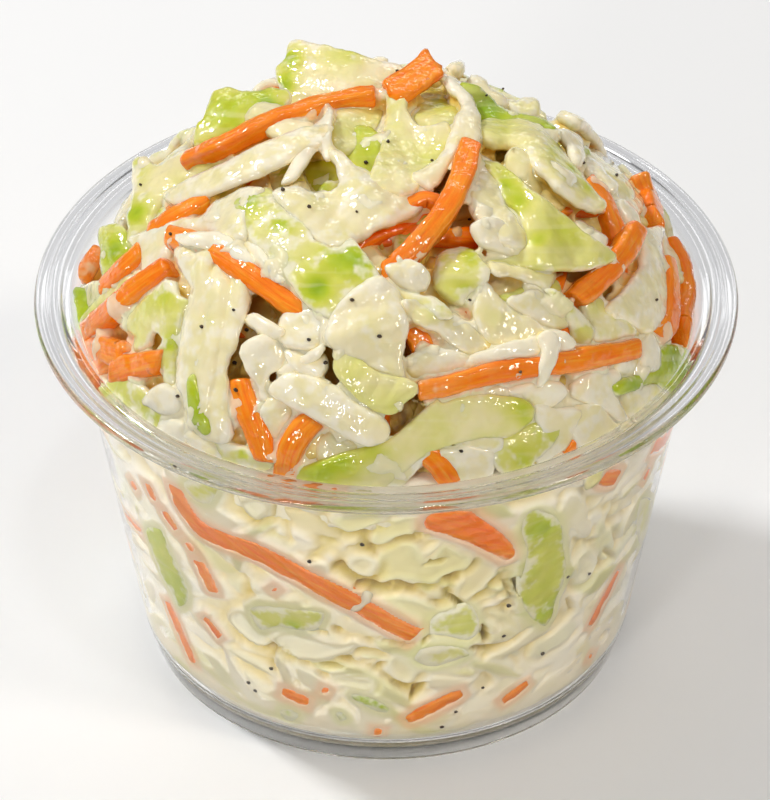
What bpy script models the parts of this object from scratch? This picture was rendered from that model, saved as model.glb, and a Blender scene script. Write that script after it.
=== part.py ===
"""A clear portion cup heaped with creamy coleslaw, at its real size.

Two solids: the moulded cup (rolled flange, tapered wall, raised floor, foot
ring) and the coleslaw that fills it and stands above the rim as an uneven
heap. Metres, +Z up, origin at the centre of the foot ring's underside.
"""

import math
import random

import bmesh
import bpy

MM = 0.001

# ---- driving dimensions of the cup, in millimetres ----
SEGMENTS = 80            # sides of every turned shape
FLANGE_R = 37.0          # outer radius of the rim flange
FLANGE_TOP = 43.0        # height of the flange's top
FLANGE_THICK = 1.0
FLANGE_INNER_R = 33.4    # where the flange's flat top begins
EDGE_ROUND = 0.55        # rolled outer edge
GROOVE_MID_R = 34.75     # middle of the lid groove pressed into the flange
GROOVE_HALF = 0.75
GROOVE_DEPTH = 0.22
WALL_THICK = 0.6
WALL_R0 = 25.83          # outer wall radius extended down to z = 0
WALL_DRAFT = 0.1718      # outward run of the wall per mm of height
FLOOR_TOP = 2.7          # top of the floor, above the table
FLOOR_THICK = 0.6
FOOT_R_TOP = 25.88       # foot ring's outer radius under the wall
FOOT_R = 25.45           # and at the table
FOOT_WIDTH = 1.05        # width of the flat ring that stands on the table

# ---- driving dimensions of the coleslaw ----
GAP = 0.3                # clearance kept to the cup
HEAP_TOP = 61.4          # height of the heap's middle, lumps left out
HEAP_BACK = 5.0          # the crown sits this far behind the cup's axis
EDGE_FRONT = 41.3        # where the heap meets the wall, front and back
EDGE_BACK = 39.4
RINGS = 21               # rings over the heap's upper surface
SHREDS = 64              # ridges that break up the heap's surface


def wall_r(z):
    """Outer radius of the tapered wall at height z."""
    return WALL_R0 + WALL_DRAFT * z


def inner_r(z):
    return wall_r(z) - WALL_THICK


def arc(cr, cz, radius, start, end, steps):
    """Points on an arc in the profile plane, angles in degrees from +r."""
    points = []
    for i in range(steps + 1):
        a = math.radians(start + (end - start) * i / steps)
        points.append((cr + radius * math.cos(a), cz + radius * math.sin(a)))
    return points


def cup_profile():
    """(r, z) from the axis along the inside, over the rim and down the outside."""
    inside = [(0.0, FLOOR_TOP), (12.0, FLOOR_TOP)]
    corner = 1.1
    cz = FLOOR_TOP + corner
    inside += arc(inner_r(cz) - corner, cz, corner, -90, -8, 4)
    top = FLANGE_TOP - 1.6
    for i in range(1, 5):
        z = cz + (top - cz) * i / 4
        inside.append((inner_r(z), z))
    inside += [
        (inner_r(top) + 0.25, FLANGE_TOP - 0.75),
        (FLANGE_INNER_R - 0.45, FLANGE_TOP - 0.15),
        (FLANGE_INNER_R, FLANGE_TOP),
    ]
    flange = [
        (GROOVE_MID_R - GROOVE_HALF, FLANGE_TOP),
        (GROOVE_MID_R - 0.4 * GROOVE_HALF, FLANGE_TOP - GROOVE_DEPTH),
        (GROOVE_MID_R + 0.4 * GROOVE_HALF, FLANGE_TOP - GROOVE_DEPTH),
        (GROOVE_MID_R + GROOVE_HALF, FLANGE_TOP),
    ]
    edge = arc(FLANGE_R - EDGE_ROUND, FLANGE_TOP - EDGE_ROUND, EDGE_ROUND, 90, 0, 4)
    edge += arc(FLANGE_R - 0.4, FLANGE_TOP - FLANGE_THICK + 0.4, 0.4, 0, -90, 3)[1:]
    under = FLANGE_TOP - FLANGE_THICK
    outside = [(wall_r(under) + 0.9, under), (wall_r(under) + 0.25, under - 0.25),
               (wall_r(under - 0.9), under - 0.9)]
    low = 3.9
    for i in range(1, 5):
        z = under - 0.9 + (low - under + 0.9) * i / 4
        outside.append((wall_r(z), z))
    outside += [
        (wall_r(low) - 0.12, 3.1),
        (wall_r(low) - 0.36, 2.5),
        (FOOT_R_TOP, 2.05),
        (FOOT_R, 0.25),
        (FOOT_R - 0.2, 0.0),
        (FOOT_R - FOOT_WIDTH, 0.0),
        (FOOT_R - FOOT_WIDTH - 0.15, 0.25),
        (FOOT_R - FOOT_WIDTH - 0.05, FLOOR_TOP - FLOOR_THICK - 0.35),
        (FOOT_R - FOOT_WIDTH - 0.4, FLOOR_TOP - FLOOR_THICK),
        (12.0, FLOOR_TOP - FLOOR_THICK),
        (0.0, FLOOR_TOP - FLOOR_THICK),
    ]
    return inside + flange + edge + outside


def turned(name, profile, segments, material):
    """A closed solid turned from a profile that starts and ends on the axis."""
    bm = bmesh.new()
    rings = []
    for r, z in profile:
        if r < 1e-9:
            rings.append([bm.verts.new((0, 0, z * MM))])
            continue
        rings.append([
            bm.verts.new((r * MM * math.cos(2 * math.pi * k / segments),
                          r * MM * math.sin(2 * math.pi * k / segments), z * MM))
            for k in range(segments)
        ])
    bridge(bm, rings)
    return finished(name, bm, material)


def bridge(bm, rings):
    """Faces between consecutive rings, closed on the axis at both ends."""
    for a, b in zip(rings, rings[1:]):
        n = max(len(a), len(b))
        for k in range(n):
            j = (k + 1) % n
            if len(a) == 1:
                bm.faces.new((a[0], b[k], b[j]))
            elif len(b) == 1:
                bm.faces.new((a[k], b[0], a[j]))
            else:
                bm.faces.new((a[k], b[k], b[j], a[j]))


def finished(name, bm, material):
    bmesh.ops.recalc_face_normals(bm, faces=bm.faces)
    mesh = bpy.data.meshes.new(name)
    bm.to_mesh(mesh)
    bm.free()
    mesh.shade_smooth()
    mesh.set_sharp_from_angle(angle=math.radians(40))
    mesh.materials.append(material)
    obj = bpy.data.objects.new(name, mesh)
    bpy.context.scene.collection.objects.link(obj)
    return obj


def shred_ridges():
    """Seeded short ridges: (x, y, direction, half length, half width, height)."""
    rng = random.Random(41)
    ridges = []
    for i in range(SHREDS):
        rho = 30.5 * math.sqrt((i + 0.5) / SHREDS)
        a = i * 2.399963 + rng.uniform(-0.3, 0.3)
        ridges.append((rho * math.cos(a), rho * math.sin(a), rng.uniform(0, math.pi),
                       rng.uniform(4.5, 9.0), rng.uniform(1.6, 2.6), rng.uniform(0.7, 2.0)))
    return ridges


def edge_height(a):
    """Height at which the heap meets the wall, by angle round the cup."""
    back = 0.5 + 0.5 * math.sin(a)
    wave = 0.35 * math.sin(3 * a + 0.6) + 0.3 * math.sin(7 * a + 2.1)
    return EDGE_FRONT + (EDGE_BACK - EDGE_FRONT) * back + wave


def heap_height(x, y, a, share, ridges):
    """Height of the heap's surface at a point that lies share of the way to the wall."""
    edge = edge_height(a)
    dome = (1 - share ** 3.1) ** 0.8
    lean = math.exp(-((x / 30) ** 2 + ((y - HEAP_BACK) / 30) ** 2)) * 1.2 - 1.0
    z = edge + (HEAP_TOP - edge + lean) * dome
    lumps = 0.0
    for rx, ry, turn, length, width, height in ridges:
        dx, dy = x - rx, y - ry
        along = dx * math.cos(turn) + dy * math.sin(turn)
        across = -dx * math.sin(turn) + dy * math.cos(turn)
        lumps += height * math.exp(-((along / length) ** 2 + (across / width) ** 2))
    fade = min(1.0, (1 - share) / 0.12)
    return z + (lumps - 0.9) * fade


def coleslaw(material):
    """The filling: follows the cup's inside, then rises over the rim as an uneven heap."""
    ridges = shred_ridges()
    bm = bmesh.new()
    base = FLOOR_TOP + GAP

    def ring(radius_at, height_at):
        verts = []
        for k in range(SEGMENTS):
            a = 2 * math.pi * k / SEGMENTS
            z = height_at(a)
            r = radius_at(a, z)
            verts.append(bm.verts.new((r * MM * math.cos(a), r * MM * math.sin(a), z * MM)))
        return verts

    rings = [[bm.verts.new((0, 0, base * MM))]]
    rings.append(ring(lambda a, z: 13.0, lambda a: base))
    rings.append(ring(lambda a, z: inner_r(base) - GAP - 1.2, lambda a: base))
    rings.append(ring(lambda a, z: inner_r(base + 1.1) - GAP - 0.15, lambda a: base + 1.1))
    sides = 4
    for i in range(1, sides + 1):
        rings.append(ring(lambda a, z: inner_r(z) - GAP,
                          lambda a, i=i: base + 1.1 + (edge_height(a) - base - 1.1) * i / sides))
    for i in range(1, RINGS):
        share = 1 - (i / RINGS) ** 1.15
        verts = []
        for k in range(SEGMENTS):
            a = 2 * math.pi * k / SEGMENTS
            r = (inner_r(edge_height(a)) - GAP) * share
            x, y = r * math.cos(a), r * math.sin(a)
            verts.append(bm.verts.new((x * MM, y * MM, heap_height(x, y, a, share, ridges) * MM)))
        rings.append(verts)
    rings.append([bm.verts.new((0, 0, heap_height(0, 0, 0, 0, ridges) * MM))])
    bridge(bm, rings)
    return finished("coleslaw", bm, material)


def principled(name, colour, roughness, **more):
    material = bpy.data.materials.new(name)
    material.use_nodes = True
    shader = material.node_tree.nodes["Principled BSDF"]
    shader.inputs["Base Color"].default_value = (*colour, 1)
    shader.inputs["Roughness"].default_value = roughness
    shader.inputs["Metallic"].default_value = 0
    for socket, value in more.items():
        shader.inputs[socket.replace("_", " ")].default_value = value
    return material


def main():
    for obj in list(bpy.data.objects):
        bpy.data.objects.remove(obj, do_unlink=True)
    clear = principled("clear_plastic", (0.93, 0.95, 0.96), 0.06, IOR=1.55, Alpha=0.3)
    slaw = principled("coleslaw", (0.88, 0.86, 0.66), 0.3)
    turned("cup", cup_profile(), SEGMENTS, clear)
    coleslaw(slaw)


main()
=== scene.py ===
"""Looks of a clear portion cup heaped with creamy coleslaw.

The cup is turned from a fine profile. The coleslaw is built shred by shred:
cabbage leaves and ribs, carrot julienne, pepper specks, and one dressing body
that fills the crevices between them. Lengths in this file are millimetres
until a mesh is made; the frame is in metres, +Z up.
"""

import math
import random

import bpy
import numpy as np
import openvdb as vdb
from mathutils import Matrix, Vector, geometry, noise
from mathutils.bvhtree import BVHTree


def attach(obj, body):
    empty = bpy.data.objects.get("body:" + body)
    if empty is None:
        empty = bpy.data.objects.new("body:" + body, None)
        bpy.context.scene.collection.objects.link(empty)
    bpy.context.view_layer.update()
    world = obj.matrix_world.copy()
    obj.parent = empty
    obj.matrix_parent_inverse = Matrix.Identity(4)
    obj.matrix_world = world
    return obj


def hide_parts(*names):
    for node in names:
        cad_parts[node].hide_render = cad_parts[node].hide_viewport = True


MM = 0.001

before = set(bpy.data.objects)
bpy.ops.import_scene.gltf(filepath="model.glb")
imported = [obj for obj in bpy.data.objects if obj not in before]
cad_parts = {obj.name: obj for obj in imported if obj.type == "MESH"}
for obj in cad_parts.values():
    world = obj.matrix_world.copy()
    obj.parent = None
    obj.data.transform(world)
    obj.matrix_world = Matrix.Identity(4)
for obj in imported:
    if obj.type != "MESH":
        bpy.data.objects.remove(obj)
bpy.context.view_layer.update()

# ---------------------------------------------------------------- camera
EL = math.radians(37.31)
DIST = 740.0
AIM = 28.6
FOCAL = 6960.0            # pixels, for a frame 800 pixels high
CX, CY = 386.2, 400.0
FORWARD = np.array([0.0, math.cos(EL), -math.sin(EL)])
UP = np.array([0.0, math.sin(EL), math.cos(EL)])
RIGHT = np.array([1.0, 0.0, 0.0])
EYE = np.array([0.0, 0.0, AIM]) - DIST * FORWARD
PX = DIST / FOCAL         # millimetres per pixel at the cup


def rays(px, py):
    px, py = np.asarray(px, float), np.asarray(py, float)
    d = (FORWARD[None] + RIGHT[None] * ((px - CX) / FOCAL)[:, None]
         - UP[None] * ((py - CY) / FOCAL)[:, None])
    return d


# ---------------------------------------------------------------- the cup's and the heap's shape
WALL_THICK, WALL_R0, WALL_DRAFT = 0.6, 25.83, 0.1718
FLOOR_TOP = 2.7
FLANGE_TOP = 43.0
HEAP_TOP, HEAP_BACK = 60.6, 5.0
EDGE_FRONT, EDGE_BACK = 41.3, 39.4
TOP_LIMIT = 63.35


def wall_r(z):
    return WALL_R0 + WALL_DRAFT * z


def inner_r(z):
    return wall_r(z) - WALL_THICK


def edge_height(a):
    back = 0.5 + 0.5 * np.sin(a)
    return EDGE_FRONT + (EDGE_BACK - EDGE_FRONT) * back + 0.3 * np.sin(3 * a + 0.6)


def heap(x, y):
    """Height of the heap's smooth outline; it drops away outside the cup's wall."""
    a = np.arctan2(y, x)
    edge = edge_height(a)
    share = np.hypot(x, y) / (inner_r(edge) - 0.2)
    dome = np.maximum(0.0, 1 - np.minimum(share, 1.0) ** 3.1) ** 0.8
    lean = np.exp(-((x / 30) ** 2 + ((y - HEAP_BACK) / 30) ** 2)) * 1.2 - 1.0
    z = edge + (HEAP_TOP - edge + lean) * dome
    return np.where(share > 1, edge - (share - 1) * 150, z)


def keep_inside(p):
    """Moves points off the wall's far side and under the height limit."""
    z = p[:, 2]
    r = np.hypot(p[:, 0], p[:, 1])
    limit = inner_r(np.clip(z, 0, FLANGE_TOP)) - 0.05 + np.clip(z - FLANGE_TOP, 0, 3) * 0.25
    scale = np.where(r > limit, limit / np.maximum(r, 1e-6), 1.0)
    p = p.copy()
    p[:, 0] *= scale
    p[:, 1] *= scale
    top = p[:, 2] > TOP_LIMIT - 1.0
    p[top, 2] = TOP_LIMIT - 1.0 + np.tanh(p[top, 2] - TOP_LIMIT + 1.0) * 0.9
    return p


def on_heap(px, py, h):
    """Points on the rays through these pixels, h above the heap's smooth outline."""
    px, py = np.atleast_1d(px).astype(float), np.atleast_1d(py).astype(float)
    h = np.broadcast_to(np.asarray(h, float), px.shape)
    d = rays(px, py)
    t0 = (EYE[2] - 72.0) / -d[:, 2]
    t1 = (EYE[2] - 24.0) / -d[:, 2]
    n = 90
    lo = np.full(len(px), np.nan)
    hi = np.full(len(px), np.nan)
    best, best_t = np.full(len(px), 1e9), t0.copy()
    for i in range(n + 1):
        t = t0 + (t1 - t0) * i / n
        p = EYE + d * t[:, None]
        f = p[:, 2] - heap(p[:, 0], p[:, 1]) - h
        closer = (f < best) & np.isnan(hi)
        best[closer], best_t[closer] = f[closer], t[closer]
        hit = (f <= 0) & np.isnan(hi)
        hi[hit] = t[hit]
        lo[hit] = t[hit] - (t1 - t0)[hit] / n
    found = ~np.isnan(hi)
    a, b = np.where(found, lo, best_t), np.where(found, hi, best_t)
    for _ in range(9):
        mid = (a + b) / 2
        p = EYE + d * mid[:, None]
        f = p[:, 2] - heap(p[:, 0], p[:, 1]) - h
        b = np.where(f <= 0, mid, b)
        a = np.where(f <= 0, a, mid)
    return keep_inside(EYE + d * ((a + b) / 2)[:, None])


CENTRE = np.array([0.0, 2.0, 30.0])


def reach(directions):
    """Distance from the heap's middle to its outline along each direction."""
    a, b = np.full(len(directions), 2.0), np.full(len(directions), 48.0)
    for _ in range(22):
        mid = (a + b) / 2
        p = CENTRE + directions * mid[:, None]
        out = p[:, 2] > heap(p[:, 0], p[:, 1])
        b = np.where(out, mid, b)
        a = np.where(out, a, mid)
    return (a + b) / 2


def patch(azimuth, tilt, turn):
    """A map from a flat patch (mm) onto the heap, round the point seen from its middle
    at this azimuth and tilt from the vertical, turned in its own plane."""
    n = np.array([math.sin(tilt) * math.cos(azimuth), math.sin(tilt) * math.sin(azimuth), math.cos(tilt)])
    e1 = np.cross(n, [0.0, 0.0, 1.0]) if tilt > 0.05 else np.array([1.0, 0.0, 0.0])
    e1 /= np.linalg.norm(e1)
    e2 = np.cross(n, e1)
    u = math.cos(turn) * e1 + math.sin(turn) * e2
    v = -math.sin(turn) * e1 + math.cos(turn) * e2
    rho = reach(n[None])[0]

    def place(x, y, h):
        x, y = np.atleast_1d(x), np.atleast_1d(y)
        d = n[None] + (u[None] * x[:, None] + v[None] * y[:, None]) / rho
        d /= np.linalg.norm(d, axis=1)[:, None]
        return keep_inside(CENTRE + d * (reach(d) + h)[:, None])

    return place


def facing(ax, ay, ah, lean, roll=0.0):
    """A map from pixels onto a plane through a heap point. It lies along the heap when lean
    is 0, stands square to the camera when lean is 1, and roll tips it to one side."""
    anchor = on_heap(ax, ay, ah)[0]
    x, y = anchor[0] + np.array([-0.4, 0.4, 0, 0]), anchor[1] + np.array([0, 0, -0.4, 0.4])
    z = heap(x, y)
    n = np.array([(z[0] - z[1]) / 0.8, (z[2] - z[3]) / 0.8, 1.0])
    n /= np.linalg.norm(n)
    view = (EYE - anchor) / np.linalg.norm(EYE - anchor)
    m = n * (1 - lean) + view * lean + RIGHT * roll
    m /= np.linalg.norm(m)

    def place(px, py, h):
        d = rays(np.atleast_1d(px), np.atleast_1d(py))
        t = ((anchor - EYE) @ m + h) / (d @ m)
        return keep_inside(EYE + d * t[:, None])

    return place


UNROLL = 29.0             # radius at which the wall is unrolled


def wall_uv(px, py):
    """Pixels on the near wall as (length round the wall, height), in millimetres."""
    px, py = np.atleast_1d(px).astype(float), np.atleast_1d(py).astype(float)
    d = rays(px, py)
    k, c = WALL_DRAFT, WALL_R0
    A = d[:, 0] ** 2 + d[:, 1] ** 2 - (k * d[:, 2]) ** 2
    rz = c + k * EYE[2]
    B = 2 * (EYE[0] * d[:, 0] + EYE[1] * d[:, 1] - rz * k * d[:, 2])
    C = EYE[0] ** 2 + EYE[1] ** 2 - rz ** 2
    t = (-B - np.sqrt(np.maximum(B * B - 4 * A * C, 0))) / (2 * A)
    p = EYE + d * t[:, None]
    n = np.stack([p[:, 0], p[:, 1], -k * wall_r(p[:, 2])], 1)
    n /= np.linalg.norm(n, axis=1)[:, None]
    d /= np.linalg.norm(d, axis=1)[:, None]
    cos = -(d * n).sum(1)
    eta = 1 / 1.5
    inside = eta * d + (eta * cos - np.sqrt(1 - eta ** 2 * (1 - cos ** 2)))[:, None] * n
    step = (WALL_THICK - 0.12) / np.maximum(-(inside * n).sum(1), 0.3)
    p = p + inside * step[:, None]
    return np.arctan2(p[:, 0], -p[:, 1]) * UNROLL, p[:, 2]


def on_wall(u, v, depth):
    u, v = np.atleast_1d(u), np.atleast_1d(v)
    a = u / UNROLL
    r = inner_r(v) + 0.12 - depth
    return np.stack([r * np.sin(a), -r * np.cos(a), v + 0 * r], 1)


# ---------------------------------------------------------------- flat outlines
def read(text):
    """"x,y[,h] x,y[,h] ..." as an array; a missing h is nan."""
    rows = []
    for item in text.split():
        values = [float(v) for v in item.split(",")]
        rows.append(values + [math.nan] * (3 - len(values)))
    return np.array(rows)


def spline(points, step, closed):
    """Centripetal Catmull-Rom through the points, sampled about every step."""
    p = np.asarray(points, float)
    n = len(p)
    ext = np.vstack([p[-1], p, p[0], p[1]]) if closed else np.vstack([2 * p[0] - p[1], p, 2 * p[-1] - p[-2]])
    out = []
    for i in range(n if closed else n - 1):
        p0, p1, p2, p3 = ext[i], ext[i + 1], ext[i + 2], ext[i + 3]
        t1 = max(np.linalg.norm(p1 - p0), 1e-6) ** 0.5
        t2 = t1 + max(np.linalg.norm(p2 - p1), 1e-6) ** 0.5
        t3 = t2 + max(np.linalg.norm(p3 - p2), 1e-6) ** 0.5
        m = max(1, int(round(np.linalg.norm(p2 - p1) / step)))
        t = (t1 + (t2 - t1) * np.arange(m) / m)[:, None]
        a1 = (t1 - t) / t1 * p0 + t / t1 * p1
        a2 = (t2 - t) / (t2 - t1) * p1 + (t - t1) / (t2 - t1) * p2
        a3 = (t3 - t) / (t3 - t2) * p2 + (t - t2) / (t3 - t2) * p3
        b1 = (t2 - t) / t2 * a1 + t / t2 * a2
        b2 = (t3 - t) / (t3 - t1) * a2 + (t - t1) / (t3 - t1) * a3
        out.append((t2 - t) / (t2 - t1) * b1 + (t - t1) / (t2 - t1) * b2)
    if not closed:
        out.append(p[-1:])
    return np.vstack(out)


def outline_distance(points, loop):
    """Distance of each point to the closed outline, and whether it lies inside."""
    a, b = loop, np.roll(loop, -1, axis=0)
    best = np.full(len(points), 1e9)
    inside = np.zeros(len(points), bool)
    for i in range(len(a)):
        d = b[i] - a[i]
        t = np.clip(((points - a[i]) @ d) / max(d @ d, 1e-12), 0, 1)
        best = np.minimum(best, np.hypot(*(points - a[i] - t[:, None] * d).T))
        crosses = (a[i, 1] > points[:, 1]) != (b[i, 1] > points[:, 1])
        with np.errstate(divide="ignore", invalid="ignore"):
            x = (b[i, 0] - a[i, 0]) * (points[:, 1] - a[i, 1]) / (b[i, 1] - a[i, 1]) + a[i, 0]
        inside ^= crosses & (points[:, 0] < x)
    return best, inside


def wobble(points, scale, seed):
    """Smooth noise from -1 to 1 at each point."""
    k = 1.0 / scale
    shift = seed * 7.31
    return np.array([noise.noise(Vector((p[0] * k + shift, p[1] * k - shift, (p[2] if len(p) > 2 else 0) * k + 0.5 * shift)))
                     for p in points])


# ---------------------------------------------------------------- stores of joined pieces
class Store:
    def __init__(self):
        self.verts, self.faces, self.green, self.film, self.grain = [], [], [], [], []
        self.count = 0

    def add(self, verts, faces, green, film, grain):
        self.verts.append(verts)
        self.faces.append(np.asarray(faces) + self.count)
        self.green.append(green)
        self.film.append(film)
        self.grain.append(grain)
        self.count += len(verts)

    def arrays(self):
        return np.vstack(self.verts), np.vstack(self.faces)


def volume(verts, faces):
    a, b, c = verts[faces[:, 0]], verts[faces[:, 1]], verts[faces[:, 2]]
    return (np.cross(a, b) * c).sum() / 6


def leaf(store, outline, place, scale, h=0.0, thick=1.2, bulge=0.4, ruffle=0.35, rough=0.25,
         spots=(), base_green=0.1, film=0.35, edge_film=0.4, grain_turn=0.0, step=0.42, seed=0,
         flush=False, ribs=0.06, rib_turn=None, rib_gap=1.7, tilt=0.0,
         curl=1.0, lip=0.6):
    """A cut leaf: outline and spots in the place's own units, scale of them per mm.
    Tilt lifts one side of it and sinks the other, by up to this many mm."""
    if rib_turn is None:
        rib_turn = seed * 0.83
    control = outline.copy()
    heights = control[:, 2]
    heights = np.where(np.isnan(heights), h, heights)
    step_u = step * scale
    loop = spline(control[:, :2], step_u, True)
    nxt, prv = np.roll(loop, -1, 0), np.roll(loop, 1, 0)
    side = nxt - prv
    side /= np.maximum(np.linalg.norm(side, axis=1), 1e-9)[:, None]
    if rough:
        shake = wobble(loop, 1.5 * scale, seed) + 0.5 * wobble(loop, 0.7 * scale, seed + 3)
        loop = loop + np.stack([side[:, 1], -side[:, 0]], 1) * (shake * rough * scale)[:, None]
    low, high = loop.min(0), loop.max(0)
    xs = np.arange(low[0], high[0], step_u)
    ys = np.arange(low[1], high[1], step_u * 0.866)
    grid = np.array([(x + (0.5 * step_u if j % 2 else 0), y) for j, y in enumerate(ys) for x in xs])
    if len(grid):
        d, inside = outline_distance(grid, loop)
        grid = grid[inside & (d > 1.75 * step_u)]
    way = np.sign((loop[:, 0] * np.roll(loop[:, 1], -1) - np.roll(loop[:, 0], -1) * loop[:, 1]).sum())
    inward = np.stack([-side[:, 1], side[:, 0]], 1) * way
    rows = [loop]
    for share in (0.45, 1.15):
        row = loop + inward * share * step_u
        d, inside = outline_distance(row, loop)
        rows.append(row[inside & (d > 0.85 * share * step_u)])
    flat = np.vstack(rows + ([grid] if len(grid) else []))
    n = len(loop)
    cdt = geometry.delaunay_2d_cdt([Vector(p) for p in flat], [(i, (i + 1) % n) for i in range(n)], [], 1, 1e-6)
    pts = np.array([tuple(p) for p in cdt[0]])
    tris = np.array([f for f in cdt[2] if len(f) == 3])
    if len(tris) < 2:
        return
    ends = np.sort(np.vstack([tris[:, [0, 1]], tris[:, [1, 2]], tris[:, [2, 0]]]), axis=1)
    pairs, count = np.unique(ends, axis=0, return_counts=True)
    rim = np.zeros(len(pts), bool)
    rim[pairs[count == 1].ravel()] = True
    used = np.zeros(len(pts), bool)
    used[tris.ravel()] = True
    if not used.all():
        index = np.cumsum(used) - 1
        tris, pts, rim = index[tris], pts[used], rim[used]
    d, _ = outline_distance(pts, loop)
    d = np.where(rim, 0, d) / scale
    size = np.linalg.norm(high - low)
    sigma = 0.16 * size
    w = np.exp(-((pts[:, None, 0] - control[None, :, 0]) ** 2 + (pts[:, None, 1] - control[None, :, 1]) ** 2) / (2 * sigma ** 2)) + 1e-9
    hh = (w * heights).sum(1) / w.sum(1)
    widest = max(d.max(), 0.3)
    hh = hh + bulge * (1 - (1 - np.minimum(d / widest, 1)) ** 2)
    mm = pts / scale
    hh = hh + ruffle * wobble(mm, 5.5, seed + 11) + 0.35 * ruffle * wobble(mm, 2.0, seed + 5)
    if not flush:
        hh = hh + 0.10 * wobble(mm, 1.7, seed + 61)
    if tilt:
        turn = seed * 2.17
        lie = mm[:, 0] * math.cos(turn) + mm[:, 1] * math.sin(turn)
        lie = lie - lie.mean()
        hh = hh + tilt * lie / max(np.abs(lie).max(), 1e-6)
    if not flush and curl:
        turn = seed * 1.31 + 0.4
        lie = mm[:, 0] * math.cos(turn) + mm[:, 1] * math.sin(turn)
        half = max(0.5 * (lie.max() - lie.min()), 0.8)
        lie = (lie - 0.5 * (lie.max() + lie.min())) / half
        hh = hh + curl * min(half / 4.0, 1.3) * (0.75 * math.sin(seed * 2.3 + 0.7) * (lie * lie - 0.35)
                                                 + 0.30 * np.sin(lie * (2.6 + 1.4 * math.sin(seed * 5.1)) * min(half / 2.4, 2.2) + seed))
    if ribs:
        across = mm[:, 0] * math.cos(rib_turn) + mm[:, 1] * math.sin(rib_turn)
        hh = hh + ribs * np.sin(across * 2 * math.pi / rib_gap + 0.6 * wobble(mm, 4, seed + 9)) * np.minimum(d / 0.8, 1)
    if flush:
        edge = np.clip(1 - d / lip, 0, 1)
        hh = hh + 0.42 * edge * edge * (3 - 2 * edge) + 0.16 * wobble(mm, 1.0, seed + 51) * np.exp(-d / 0.8)
    mid = place(pts[:, 0], pts[:, 1], hh)
    normal = np.zeros_like(mid)
    face_n = np.cross(mid[tris[:, 1]] - mid[tris[:, 0]], mid[tris[:, 2]] - mid[tris[:, 0]])
    for k in range(3):
        np.add.at(normal, tris[:, k], face_n)
    normal /= np.maximum(np.linalg.norm(normal, axis=1), 1e-12)[:, None]
    outward = mid - CENTRE if not flush else mid * np.array([1, 1, 0])
    if (normal * outward).sum() < 0:
        normal = -normal
        tris = tris[:, ::-1]
    soft = min(0.5 * thick + 0.15 if flush else 0.30 * thick + 0.10, widest * 0.8)
    rise = np.minimum(d / soft, 1)
    t = thick * np.sqrt(np.maximum(0, 1 - (1 - rise) ** 2))
    t = t * (1 + 0.18 * wobble(mm, 3.0, seed + 21) + 0.12 * wobble(mm, 0.95, seed + 23))
    if flush:
        top, under = mid, mid - normal * t[:, None]
    else:
        top, under = mid + normal * (0.5 * t)[:, None], mid - normal * (0.5 * t)[:, None]
        top[:, 2] = np.minimum(top[:, 2], TOP_LIMIT)
    inner = np.flatnonzero(~rim)
    lower = np.arange(len(pts))
    lower[inner] = len(pts) + np.arange(len(inner))
    verts = np.vstack([top, under[inner]])
    faces = np.vstack([tris, lower[tris][:, ::-1]])
    if volume(verts, faces) < 0:
        faces = faces[:, ::-1]
    green = np.full(len(pts), float(base_green))
    for sx, sy, radius, strength in spots:
        green += strength * np.exp(-((pts[:, 0] - sx) ** 2 + (pts[:, 1] - sy) ** 2) / radius ** 2)
    green = np.clip(green + 0.10 * wobble(mm, 3.0, seed + 31), 0, 1)
    films = np.clip(film + edge_film * np.exp(-d / (0.95 if flush else 0.55)) + 0.25 * wobble(mm, 3.2, seed + 41), 0, 1)
    c, s = math.cos(grain_turn), math.sin(grain_turn)
    grain = np.stack([mm[:, 0] * c + mm[:, 1] * s, -mm[:, 0] * s + mm[:, 1] * c, hh + seed], 1)
    store.add(verts, faces, np.r_[green, green[inner]], np.r_[films, films[inner]],
              np.vstack([grain, grain[inner]]))


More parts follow.
